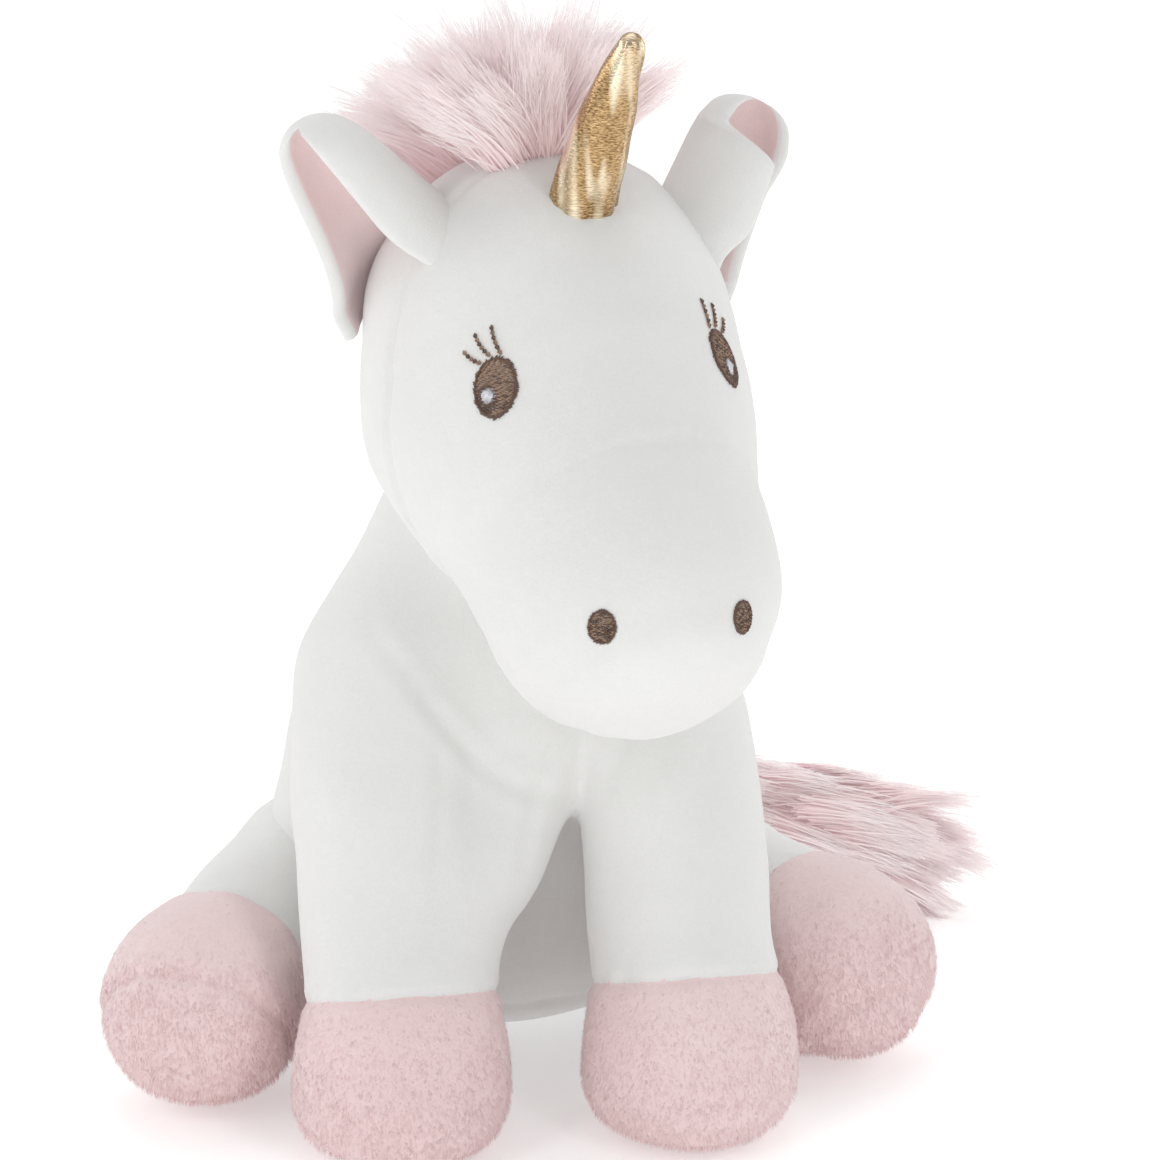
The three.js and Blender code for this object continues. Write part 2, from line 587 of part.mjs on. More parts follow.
// The backing lies in a slot in the pile, which is open underneath where the fur is sewn together.
const slotKeys = stripKeys.map(([x, y, z, half, tall]) => (
  [x, y, z - STRIP.margin, half + STRIP.room, tall + STRIP.margin + STRIP.room]
));
const tailSlot = uprightLoft(slotKeys, { domeStart: 5, domeEnd: 4 });
const tailPile = uprightLoft(TAIL_KEYS, { domeStart: TAIL_ROOT.r, domeEnd: 13 }).subtract(tailSlot);
addPart("tail_pile", largestOf(tailPile.intersect(above(0.3))), FUR);
addPart("tail_backing", uprightLoft(stripKeys), PALE_PINK);

export default toy;
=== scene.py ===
"""A plush unicorn, sitting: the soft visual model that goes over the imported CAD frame.

Shapes are worked out in millimetres in the row frame (+Z up, the animal faces -Y, its left is +X)
and turned into metres when a mesh is made. Each stuffed body is a distance field swept along a few
keys, turned into one smooth skin, and then cut into its sewn panels along the seams.
"""
import json
import math

import bmesh
import bpy
import numpy as np
from mathutils import Matrix, Vector
from mathutils.bvhtree import BVHTree


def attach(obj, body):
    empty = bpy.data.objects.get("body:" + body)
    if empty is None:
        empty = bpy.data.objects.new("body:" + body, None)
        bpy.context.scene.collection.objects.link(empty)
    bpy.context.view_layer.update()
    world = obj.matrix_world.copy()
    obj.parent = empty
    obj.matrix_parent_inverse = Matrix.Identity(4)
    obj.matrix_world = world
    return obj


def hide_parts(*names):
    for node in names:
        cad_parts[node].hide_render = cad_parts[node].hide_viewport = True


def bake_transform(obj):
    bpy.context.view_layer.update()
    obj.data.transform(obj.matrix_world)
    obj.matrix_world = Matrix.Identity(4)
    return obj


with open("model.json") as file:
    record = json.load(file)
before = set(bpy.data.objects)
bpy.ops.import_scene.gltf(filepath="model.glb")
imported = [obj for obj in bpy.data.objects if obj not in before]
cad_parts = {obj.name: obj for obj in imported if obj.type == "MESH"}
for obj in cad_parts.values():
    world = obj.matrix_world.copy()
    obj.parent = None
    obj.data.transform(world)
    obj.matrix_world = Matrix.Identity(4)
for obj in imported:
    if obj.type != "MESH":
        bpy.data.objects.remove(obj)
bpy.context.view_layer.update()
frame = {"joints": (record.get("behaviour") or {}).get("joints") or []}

MM = 0.001
CELL = 1.7  # grid step of the skins
JOINTS = {joint["name"]: np.array(joint.get("pos_m", (0, 0, 0))) / MM for joint in frame["joints"]}
NECK = JOINTS["head_turn"]
HEAD_YAW = math.radians(15.5)
SIDES = {"left": 1, "right": -1}


# ------------------------------------------------------------------ lines and directions
def unit(*vector):
    vector = np.array(vector, float)
    return vector / np.linalg.norm(vector)


def unit_rows(rows, tiny=0.0):
    """Each row scaled to a length of one; tiny keeps a row of zeros from dividing by zero."""
    return rows / (np.linalg.norm(rows, axis=1)[:, None] + tiny)


def directions_along(line, tiny=0.0):
    """The direction in which a line of points runs, at each of them."""
    return unit_rows(np.gradient(line, axis=0), tiny)


def eased(share, low, high, start, end):
    """start below share = low and end above share = high, with a smooth change between."""
    t = min(1.0, max(0.0, (share - low) / (high - low)))
    return start + (end - start) * t * t * (3 - 2 * t)


def catmull_rom(keys, spacing):
    """Rows of keys (x, y, z, ...) filled in along a smooth line, about spacing apart."""
    keys = np.array(keys, float)
    padded = np.vstack([2 * keys[0] - keys[1], keys, 2 * keys[-1] - keys[-2]])
    rows = []
    for i in range(1, len(padded) - 2):
        a, b, c, d = padded[i - 1:i + 3]
        steps = max(2, int(np.linalg.norm(c[:3] - b[:3]) / spacing))
        for t in np.arange(steps) / steps:
            rows.append(0.5 * (2 * b + (c - a) * t + (2 * a - 5 * b + 4 * c - d) * t * t
                               + (3 * b - a - 3 * c + d) * t ** 3))
    rows.append(padded[-2])
    return np.array(rows)


# ------------------------------------------------------------------ distance fields
FAR = 60.0  # the distance given to points that are well outside a body


class Swept:
    """An oval swept along keys (x, y, z, half width, half depth), as overlapping ellipsoids."""

    def __init__(self, keys, level=False, along=14.0, spacing=2.0):
        rows = catmull_rom(keys, spacing)
        self.centres = rows[:, :3]
        tangents = directions_along(self.centres)
        if level:
            tangents[:] = (0, 0, 1)
        lateral = unit_rows(np.array([1.0, 0, 0]) - tangents * tangents[:, :1])
        depth = np.cross(tangents, lateral)
        self.frames = np.stack([lateral, depth, tangents], axis=1)
        self.radii = np.column_stack([rows[:, 3], rows[:, 4], np.full(len(rows), along)])
        reach = rows[:, 3:5].max() + along
        self.low = self.centres.min(0) - reach
        self.high = self.centres.max(0) + reach

    def __call__(self, points):
        distance = np.full(len(points), FAR)
        near = ((points > self.low) & (points < self.high)).all(1)
        close = points[near]
        best = np.full(len(close), FAR)
        for centre, axes, radii in zip(self.centres, self.frames, self.radii):
            local = (close - centre) @ axes.T
            k0 = np.linalg.norm(local / radii, axis=1)
            k1 = np.linalg.norm(local / radii ** 2, axis=1) + 1e-9
            best = np.minimum(best, k0 * (k0 - 1) / k1)
        distance[near] = best
        return distance


def smooth_union(a, b, radius):
    """Both bodies as one, with a fillet of about that radius where they meet."""
    share = np.clip(0.5 + 0.5 * (b - a) / radius, 0, 1)
    return b * (1 - share) + a * share - radius * share * (1 - share)


def smooth_cut(a, b, radius):
    """What is inside both a and b, with a rounded edge where they meet."""
    return -smooth_union(-a, -b, radius)


def skin_of(field, low, high, cell):
    """Vertices and quads of the surface where the field is zero, by the surface-nets method."""
    low, high = np.array(low, float), np.array(high, float)
    counts = np.ceil((high - low) / cell).astype(int) + 1
    axes = [low[i] + cell * np.arange(counts[i]) for i in range(3)]
    grid = np.stack(np.meshgrid(*axes, indexing="ij"), axis=-1)
    values = field(grid.reshape(-1, 3)).reshape(counts)
    inside = values < 0
    cells = counts - 1
    total = np.zeros((*cells, 3))
    hits = np.zeros(cells)
    corners = [(i, j, k) for i in (0, 1) for j in (0, 1) for k in (0, 1)]
    window = lambda c: tuple(slice(c[i], c[i] + cells[i]) for i in range(3))
    for start in corners:
        for axis in range(3):
            if start[axis]:
                continue
            end = tuple(c + (i == axis) for i, c in enumerate(start))
            va, vb = values[window(start)], values[window(end)]
            crossing = inside[window(start)] != inside[window(end)]
            share = np.where(crossing, va / np.where(crossing, va - vb, 1), 0)
            for i in range(3):
                total[..., i] += np.where(crossing, start[i] + (share if i == axis else 0), 0)
            hits += crossing
    used = hits > 0
    number = np.full(cells, -1)
    number[used] = np.arange(used.sum())
    base = np.stack(np.nonzero(used), axis=1)
    vertices = low + cell * (base + total[used] / hits[used][:, None])
    quads = []
    for axis in range(3):
        u, v = [i for i in range(3) if i != axis]
        lower = [slice(1, cells[i]) for i in range(3)]
        lower[axis] = slice(0, cells[axis])
        upper = list(lower)
        upper[axis] = slice(1, cells[axis] + 1)
        here, there = inside[tuple(lower)], inside[tuple(upper)]
        for crossing, turn in ((here & ~there, axis != 1), (there & ~here, axis == 1)):
            at = np.stack(np.nonzero(crossing), axis=1)
            at[:, u] += 1
            at[:, v] += 1
            ring = []
            for du, dv in ((1, 1), (0, 1), (0, 0), (1, 0)):
                cell_at = at.copy()
                cell_at[:, u] -= du
                cell_at[:, v] -= dv
                ring.append(number[tuple(cell_at.T)])
            ring = np.stack(ring, axis=1)
            quads.append(ring if turn else ring[:, ::-1])
    quads = np.vstack(quads)
    return relax(settle(vertices, field), quads), quads


def relax(vertices, quads, rounds=4):
    """Evens out a skin: each vertex moves to the middle of its neighbours."""
    ends = np.vstack([quads[:, [i, (i + 1) % 4]] for i in range(4)])
    here, there = np.vstack([ends, ends[:, ::-1]]).T
    degree = np.bincount(here, minlength=len(vertices))[:, None]
    for _ in range(rounds):
        total = np.stack([np.bincount(here, vertices[there, i], len(vertices)) for i in range(3)], axis=1)
        vertices = 0.5 * vertices + 0.5 * total / degree
    return vertices


def settle(vertices, field, rounds=2, step=0.4):
    """Moves vertices onto the field's zero surface, by its slope over a small step."""
    for _ in range(rounds):
        value = field(vertices)
        slope = np.stack([field(vertices + step * axis) - value for axis in np.eye(3)], axis=1) / step
        size = np.maximum((slope ** 2).sum(1), 0.25)
        vertices = vertices - slope * (value / size)[:, None]
    return vertices


# ------------------------------------------------------------------ stuffed bodies
# Each key is (x, y, z, half width, half depth), in millimetres.
TORSO = Swept([
    (0, 0, 6, 50, 42), (0, 0, 14, 59, 50), (0, -1, 30, 64, 57), (0, -8, 58, 63.5, 55.5),
    (-1, -24, 88, 59, 50), (-2, -38, 112, 55, 45.5), (-1, -46, 132, 49.5, 42),
    (1.5, -47, 150, 43, 38.5), (3, -46, 166, 36, 34), (3, -46, 184, 28, 28),
], level=True)
FORELEG_KEYS = [
    (36, -62, 117, 20, 21), (39, -75, 98, 25.2, 25), (39.5, -88, 73, 25.6, 25.6),
    (39.8, -99, 50, 25.4, 25.6), (40, -104, 41, 26, 26.6), (40, -109, 28, 29.2, 30.4),
    (40, -111.5, 15, 30, 31), (40, -112, 8, 28.6, 29.5),
]
HIND_KEYS = [
    (48, 2, 36, 27.5, 27.5), (67, -26, 31, 26, 26.5), (79, -48, 29, 25, 26.3),
    (83.5, -56, 28.5, 26.2, 27.4), (88.5, -67, 28.5, 28.4, 28.8), (93, -77, 28.5, 27.4, 28),
    (96, -83, 28.5, 23.5, 25),
]


def mirrored(keys):
    """The right side's keys, from the left side's."""
    return [(-x, *rest) for x, *rest in keys]


FORELEGS = {"left": Swept(FORELEG_KEYS), "right": Swept(mirrored(FORELEG_KEYS))}
HIND_LEGS = {"left": Swept(HIND_KEYS), "right": Swept(mirrored(HIND_KEYS))}
# The inside of the right foreleg runs up across the chest to the other leg.
CHEST_WEB = Swept([
    (4, -66, 104, 22, 20), (-6, -78, 88, 19, 18), (-13, -86, 74, 17, 18), (-22, -93, 60, 15, 20),
    (-28, -99, 42, 14, 22),
])
SOLE_ROUND = {"seat": 9, "hoof": 13}  # the rounded edge round each flat underside
WEB_FILLET = 8
BETWEEN_LEGS_FILLET = 4
SHOULDER_FILLETS = (7, 26)  # how softly the legs run into the body, low down and at the chest
SHOULDER_HEIGHTS = (75, 110)  # the fillet grows from the one to the other between these
CHEEK_FILLET = 16


def foreleg_field(p, side):
    leg = FORELEGS[side](p)
    return smooth_union(leg, CHEST_WEB(p), WEB_FILLET) if side == "right" else leg


def body_field(p):
    """The torso and both forelegs as one stuffed body, cut flat where they stand."""
    legs = smooth_union(foreleg_field(p, "left"), foreleg_field(p, "right"), BETWEEN_LEGS_FILLET)
    legs = smooth_cut(legs, -p[:, 2], SOLE_ROUND["hoof"])
    torso = smooth_cut(TORSO(p), -p[:, 2], SOLE_ROUND["seat"])
    small, large = SHOULDER_FILLETS
    low, high = SHOULDER_HEIGHTS
    share = np.clip((p[:, 2] - low) / (high - low), 0, 1)
    return smooth_union(torso, legs, small + (large - small) * share)


def hind_field(side):
    return lambda p: smooth_cut(HIND_LEGS[side](p), -p[:, 2], SOLE_ROUND["hoof"])


# The head is worked out in its own frame, which the yaw turns about the neck.
HEAD_TURN = Matrix.Translation(Vector((NECK[0], NECK[1], 0))) @ Matrix.Rotation(HEAD_YAW, 4, "Z")
HEAD = Swept([
    (6.5, 24, 236, 31, 33), (6.5, 16, 228, 43, 46), (6.5, 1, 214, 49.5, 54), (6, -14, 199, 49.5, 55),
    (5, -28, 187.5, 48, 52.5), (3.5, -41, 177.5, 45.2, 47.6), (2.2, -54, 167, 42.2, 43.4),
    (1, -67, 157, 41, 40.8), (0, -79, 148, 38.2, 36.8), (0, -88, 141, 30, 28),
])
CHEEKS = Swept([(4.5, 12, 180, 42, 30), (4.5, -4, 182, 45.5, 34), (4, -22, 178, 42, 34)])


def head_field(p):
    return smooth_union(HEAD(p), CHEEKS(p), CHEEK_FILLET)


def to_world(points):
    """Points of the head's own frame, turned about the neck."""
    turn = np.array(HEAD_TURN)
    return points @ turn[:3, :3].T + turn[:3, 3]


# ------------------------------------------------------------------ meshes
def new_object(name, vertices, faces, normals=None):
    """A smooth mesh object from points in millimetres."""
    mesh = bpy.data.meshes.new(name)
    mesh.from_pydata((np.asarray(vertices) * MM).tolist(), [], [list(map(int, f)) for f in faces])
    mesh.polygons.foreach_set("use_smooth", [True] * len(mesh.polygons))
    if normals is not None:
        mesh.normals_split_custom_set_from_vertices(np.asarray(normals).tolist())
    mesh.update()
    piece = bpy.data.objects.new(name, mesh)
    bpy.context.scene.collection.objects.link(piece)
    return piece


def cut_skin(vertices, quads, planes):
    """The skin with an edge along each plane (point, normal, which faces it cuts)."""
    bm = bmesh.new()
    for v in vertices:
        bm.verts.new(v)
    bm.verts.ensure_lookup_table()
    for q in quads:
        bm.faces.new([bm.verts[i] for i in q])
    for point, normal, region in planes:
        bm.faces.ensure_lookup_table()
        centres = np.array([f.calc_center_median() for f in bm.faces])
        chosen = [bm.faces[i] for i in np.nonzero(region(centres))[0]]
        edges = {e for f in chosen for e in f.edges}
        verts = {v for f in chosen for v in f.verts}
        bmesh.ops.bisect_plane(bm, geom=[*chosen, *edges, *verts], dist=0.25,
                               plane_co=point, plane_no=normal)
    bm.verts.index_update()
    made = np.array([v.co for v in bm.verts])
    faces = [[v.index for v in f.verts] for f in bm.faces]
    bm.free()
    return made, faces


def vertex_normals(vertices, faces):
    mesh = bpy.data.meshes.new("measure")
    mesh.from_pydata(vertices.tolist(), [], faces)
    mesh.update()
    normals = np.zeros(len(vertices) * 3)
    mesh.vertices.foreach_get("normal", normals)
    bpy.data.meshes.remove(mesh)
    return normals.reshape(-1, 3)


def split_by(vertices, faces, normals, label_of):
    """One (vertices, faces, normals) for each label that label_of gives to a face's centre."""
    centres = np.array([vertices[f].mean(0) for f in faces])
    labels = label_of(centres)
    parts = {}
    for label in np.unique(labels):
        chosen = [faces[i] for i in np.nonzero(labels == label)[0]]
        used = np.unique(np.concatenate(chosen))
        number = np.full(len(vertices), -1)
        number[used] = np.arange(len(used))
        parts[str(label)] = (vertices[used], [number[f] for f in chosen], normals[used])
    return parts


# ------------------------------------------------------------------ materials
class Look:
    """One material, and short ways to add shader nodes to it."""

    def __init__(self, name):
        self.material = bpy.data.materials.new(name)
        self.material.use_nodes = True
        self.nodes = self.material.node_tree.nodes
        self.links = self.material.node_tree.links
        self.shader = self.nodes["Principled BSDF"]

    def fill(self, node, inputs):
        """Gives each input a constant, or links it to another node's output."""
        for name, value in inputs.items():
            if isinstance(value, bpy.types.NodeSocket):
                self.links.new(value, node.inputs[name])
            else:
                node.inputs[name].default_value = value

    def add(self, kind, output, inputs, **settings):
        """A new node's output, with the node's settings made and its inputs filled."""
        node = self.nodes.new("ShaderNode" + kind)
        for name, value in settings.items():
            setattr(node, name, value)
        self.fill(node, inputs)
        return node.outputs[output]

    def noise(self, place, scale, **more):
        return self.add("TexNoise", "Fac", {"Vector": place, "Scale": scale, **more})

    def ramp(self, share, *stops):
        """A colour ramp between two stops, each (position, colour)."""
        colour = self.add("ValToRGB", "Color", {"Fac": share})
        for element, (position, shade) in zip(colour.node.color_ramp.elements, stops):
            element.position = position
            element.color = (*shade, 1)
        return colour

    def finish(self, **inputs):
        """Fills the surface shader; an input's name is written with _ for each space."""
        self.fill(self.shader, {name.replace("_", " "): value for name, value in inputs.items()})
        return self.material


def fabric(name, colour, shade, *, pile_scale, pile_depth):
    """Plush: short pile as fine bumps over soft dimples, and a slow change between two shades."""
    look = Look(name)
    place = look.add("TexCoord", "Object", {})
    slow = look.noise(place, 18, Detail=3)
    fine = look.noise(place, pile_scale, Detail=4, Roughness=0.7)
    half = look.add("Math", "Value", {0: slow, 1: 0.5}, operation="MULTIPLY")
    mixed = look.add("Math", "Value", {0: fine, 1: 0.5, 2: half}, operation="MULTIPLY_ADD")
    dimples = look.noise(place, 120)
    soft = look.add("Bump", "Normal", {"Height": dimples, "Strength": 0.5, "Distance": 0.0006})
    pile = look.add("Bump", "Normal",
                    {"Height": fine, "Strength": 0.6, "Distance": pile_depth, "Normal": soft})
    return look.finish(Base_Color=look.ramp(mixed, (0.3, shade), (0.6, colour)), Normal=pile,
                       Roughness=0.9, Specular_IOR_Level=0.15, Sheen_Weight=0.5, Sheen_Roughness=0.5)


def fur_look(name, root, tip, lock_tint_and_glow):
    """Long pile: deeper at the root, paler at the tip, with a tint for each lock, and a faint painted
    glow in the tint's colour that stands in for light scattered between the locks.
    """
    look = Look(name)
    share = look.add("Attribute", "Fac", {}, attribute_name="pile_share")
    tint = look.add("Attribute", "Fac", {}, attribute_name="pile_tint")
    amount = look.add("Math", "Value", {0: tint, 1: 0.3}, operation="MULTIPLY")
    along = look.ramp(share, (0, root), (0.85, tip))
    colour = look.add("Mix", "Result", {"Factor": amount, "A": along, "B": (*lock_tint_and_glow, 1)}, data_type="RGBA")
    # painted light: the fur glows faintly in the tint's colour, in place of light scattered between the
    # locks
    return look.finish(Base_Color=colour, Roughness=0.95, Specular_IOR_Level=0.2, Sheen_Weight=0.3,
                       Emission_Color=(*lock_tint_and_glow, 1), Emission_Strength=0.06)  # light between the locks


def thread_look(name, colour):
    """Embroidery thread: a darker and a lighter shade along its twist."""
    look = Look(name)
    twist = look.noise(look.add("TexCoord", "Object", {}), 900)
    shades = look.ramp(twist, (0.3, [c * 0.6 for c in colour]), (0.7, colour))
    return look.finish(Base_Color=shades, Roughness=0.55, Specular_IOR_Level=0.5, Sheen_Weight=0.1)


def lame_look(name, dark, light, shine):
    """Metallic foil fabric: fine crackle over shiny gold. The colour's fine noise of dark and light gold
    is painted reflection, and the paler bands up the horn are painted highlights.
    """
    look = Look(name)
    place = look.add("TexCoord", "Object", {})
    wrinkled = look.add("Mapping", "Vector", {"Vector": place, "Scale": (1, 1, 3.2)})
    cells = look.add("TexVoronoi", "Distance", {"Vector": wrinkled, "Scale": 520})
    grain_and_glints = look.noise(wrinkled, 900, Detail=4)
    crackle = look.add("Math", "Value", {0: cells, 1: grain_and_glints}, operation="ADD")
    bump = look.add("Bump", "Normal", {"Height": crackle, "Strength": 0.5, "Distance": 0.00022})
    # painted highlights: pale bands up the horn, in the colour shine, stand in for the lamps' reflections
    stretched = look.add("Mapping", "Vector", {"Vector": place, "Scale": (1, 0.6, 0.06)})
    painted_highlight_streaks = look.ramp(look.noise(stretched, 190, Detail=1), (0.49, (0, 0, 0)), (0.64, (1, 1, 1)))
    # painted reflection: dark and light gold by fine noise, in place of the foil's glints
    gold = look.ramp(grain_and_glints, (0.35, dark), (0.64, light))
    colour = look.add("Mix", "Result", {"Factor": painted_highlight_streaks, "A": gold, "B": (*shine, 1)}, data_type="RGBA")
    return look.finish(Base_Color=colour, Normal=bump, Metallic=1.0, Roughness=0.2)


SHORT_PILE = {"pile_scale": 1400, "pile_depth": 0.0003}
LONGER_PILE = {"pile_scale": 900, "pile_depth": 0.0006}
WHITE = fabric("white_velboa", (0.83, 0.83, 0.815), (0.78, 0.78, 0.765), **SHORT_PILE)
PINK = fabric("pink_plush", (0.88, 0.70, 0.70), (0.81, 0.60, 0.605), **LONGER_PILE)
LINING = fabric("ear_lining", (0.90, 0.76, 0.755), (0.86, 0.69, 0.69), **SHORT_PILE)
# the dark and light gold are painted reflection; the pale gold is the painted highlight of the bands up
# the horn
GOLD = lame_look("gold_lame", (0.23, 0.13, 0.055), (0.66, 0.45, 0.23), (1.0, 0.88, 0.66))
BROWN = thread_look("brown_thread", (0.40, 0.25, 0.165))
DARK_BROWN = thread_look("dark_brown_thread", (0.17, 0.095, 0.065))
WHITE_THREAD = thread_look("white_thread", (0.85, 0.85, 0.9))
FUR = fur_look("pink_fur", (0.98, 0.79, 0.80), (0.99, 0.94, 0.94), (0.97, 0.80, 0.815))


def dress(piece, skin, slot_name, body, *nodes):
    """A padded piece's material, the nodes it replaces, and the body it rides, if any. slot_name is not
    used.
    """
    piece.data.materials.append(skin)
    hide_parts(*nodes)
    if body:
        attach(piece, body)
    return piece


def whole(centres):
    """The region of a plane that cuts every face."""
    return np.full(len(centres), True)


# ------------------------------------------------------------------ lumps, folds and seams
def swell(points, size, seed, waves=6):
    """Smooth noise over space, about -1 to 1, whose waves are about size long."""
    rng = np.random.default_rng(seed)
    total = np.zeros(len(points))
    for _ in range(waves):
        direction = unit(*rng.normal(size=3)) * 2 * math.pi / (size * rng.uniform(0.75, 1.4))
        total += np.sin(points @ direction + rng.uniform(0, 6.3))
    return total / math.sqrt(waves)


LUMPS = {"long": 36, "short": 15, "short_share": 0.3}
GATHERS = {"wave": 8, "reach": 5, "share": 0.22, "seed": 3}
RIDGE = {"at": 2.2, "share": 0.35}  # beside a fold, in its widths, and its share of the depth


def lumpy(vertices, normals, seed, height=0.4):
    """The uneven surface that loose stuffing gives to a soft skin: long swells and short ones."""
    lift = height * swell(vertices, LUMPS["long"], seed)
    lift += LUMPS["short_share"] * height * swell(vertices, LUMPS["short"], seed + 1)
    return vertices + normals * lift[:, None]


def groove(vertices, normals, distance, mask, depth=1.1, width=1.5):
    """Pulls the skin in along a seam, with small gathers beside it."""
    pull = depth * np.exp(-(distance / width) ** 2) * mask
    gathers = GATHERS["share"] * depth * swell(vertices, GATHERS["wave"], GATHERS["seed"])
    gathers = gathers * np.exp(-(distance / GATHERS["reach"]) ** 2) * mask
    return vertices - normals * (pull + gathers)[:, None]


def fold(vertices, normals, line, depth, width):
    """A soft fold along a line near the skin, deepest at its middle, with a low ridge on each side."""
    line = catmull_rom(line, 1.5)
    for row in line:
        under = np.linalg.norm(vertices - row, axis=1).argmin()
        row += normals[under] * (normals[under] @ (vertices[under] - row))
    near = ((vertices > line.min(0) - 4 * width) & (vertices < line.max(0) + 4 * width)).all(1)
    gaps = np.linalg.norm(vertices[near][:, None] - line[None], axis=2)
    nearest = gaps.argmin(1)
    distance = gaps.min(1) / width
    fade = np.sin(math.pi * (0.08 + 0.84 * nearest / (len(line) - 1)))
    ridge = RIDGE["share"] * np.exp(-(distance - RIDGE["at"]) ** 2)
    pull = depth * fade * (np.exp(-distance ** 2) - ridge)
    folded = vertices.copy()
    folded[near] -= normals[near] * pull[:, None]
    return folded


def plane_distance(points, point, normal):
    """How far points are beyond a plane, on the side its normal points to."""
    return (points - np.array(point)) @ np.array(normal)


# ------------------------------------------------------------------ body and forelegs
# Each seam is a plane: a point on it, and its normal.
SOLE_Z = 9.0
SEAT_SEAM_Z = 12.0
NECKLINE = (np.array([0, -86, 121.0]), unit(0, -0.295, 0.955))
LEG_CUT = (np.array([39, -81, 87.5]), unit(0, -0.68, -0.73))
HOOF_SEAM = (np.array([39.5, -102, 39.5]), unit(0, -0.36, -0.93))
SOLE_SEAM = (np.array([0, 0, SOLE_Z]), unit(0, 0, -1))
GUSSET_HALF = 16.0  # the belly gusset lies between these, in front of the back seam
GUSSET_BACK_Y = -20
GUSSET_TOP_Z = 125
BODY_BOX = ((-72, -150, -2), (72, 64, 190))


def sided(plane, side):
    """A plane given for the left side, or its mirror image for the right."""
    point, normal = plane
    return point * [SIDES[side], 1, 1], normal * [SIDES[side], 1, 1]


def on_foreleg(p, side):
    """True where a point of the skin belongs to that leg and not to the body."""
    other = "right" if side == "left" else "left"
    beyond = plane_distance(p, *sided(LEG_CUT, side)) > 0
    here = foreleg_field(p, side)
    return beyond & (here < foreleg_field(p, other)) & (here < TORSO(p))


# Lines of points near the skin, then how deep and how wide the fold is.
BODY_FOLDS = [
    ([(-44, -77, 138), (-35, -87, 127), (-27, -93.5, 117), (-8.5, -94, 97), (12, -89, 89)], 1.0, 2.2),
    ([(-26, -94, 115), (-27, -99, 100), (-29, -109, 84), (-31.5, -120, 62)], 0.9, 3.0),
    ([(9, -92, 112), (2.7, -93, 99), (-3, -97, 84), (-9, -99, 70)], 0.7, 2.2),
    ([(43, -101, 102), (41, -114, 78), (38, -125, 57)], 0.4, 3.0),
    ([(30, -93, 118), (22, -97, 104), (17, -98, 94)], 0.6, 2.6),
]


def torso_only(p):
    return ~(on_foreleg(p, "left") | on_foreleg(p, "right"))


def body_planes():
    """The planes that cut the skin of body and forelegs, each with which faces it cuts."""
    planes = [(*NECKLINE, lambda c: c[:, 2] > 95)]
    for side in SIDES:
        near = lambda c, s=side: (c[:, 0] * SIDES[s] > -16) & (c[:, 1] < -55)
        planes.append((*sided(LEG_CUT, side), near))
        planes.append((*sided(HOOF_SEAM, side), lambda c, s=side: on_foreleg(c, s)))
        planes.append((*sided(SOLE_SEAM, side), lambda c, s=side: on_foreleg(c, s)))
    planes.append((np.array([0, 0, SEAT_SEAM_Z]), unit(0, 0, 1), torso_only))
    behind = lambda c: torso_only(c) & (c[:, 1] > GUSSET_BACK_Y)
    planes.append((np.zeros(3), unit(1, 0, 0), behind))
    below = lambda c: torso_only(c) & (c[:, 1] < GUSSET_BACK_Y) & (c[:, 2] < GUSSET_TOP_Z)
    for sign in (1, -1):
        planes.append((np.array([sign * GUSSET_HALF, 0, 0]), unit(1, 0, 0), below))
    return planes


def body_labels(c):
    """The name of the piece that each face's centre belongs to."""
    labels = np.where(c[:, 0] > 0, "side_panel_left", "side_panel_right").astype(object)
    front = (np.abs(c[:, 0]) < GUSSET_HALF) & (c[:, 1] < GUSSET_BACK_Y)
    labels[front] = "belly_gusset"
    labels[c[:, 2] < SEAT_SEAM_Z] = "seat_panel"
    labels[plane_distance(c, *NECKLINE) > 0] = "neck_cover"
    for side in SIDES:
        leg = on_foreleg(c, side)
        labels[leg] = f"foreleg_{side}_sleeve"
        past = leg & (plane_distance(c, *sided(HOOF_SEAM, side)) > 0)
        labels[past] = f"foreleg_{side}_hoof"
        labels[past & (c[:, 2] < SOLE_Z)] = f"foreleg_{side}_sole"
    return labels.astype(str)


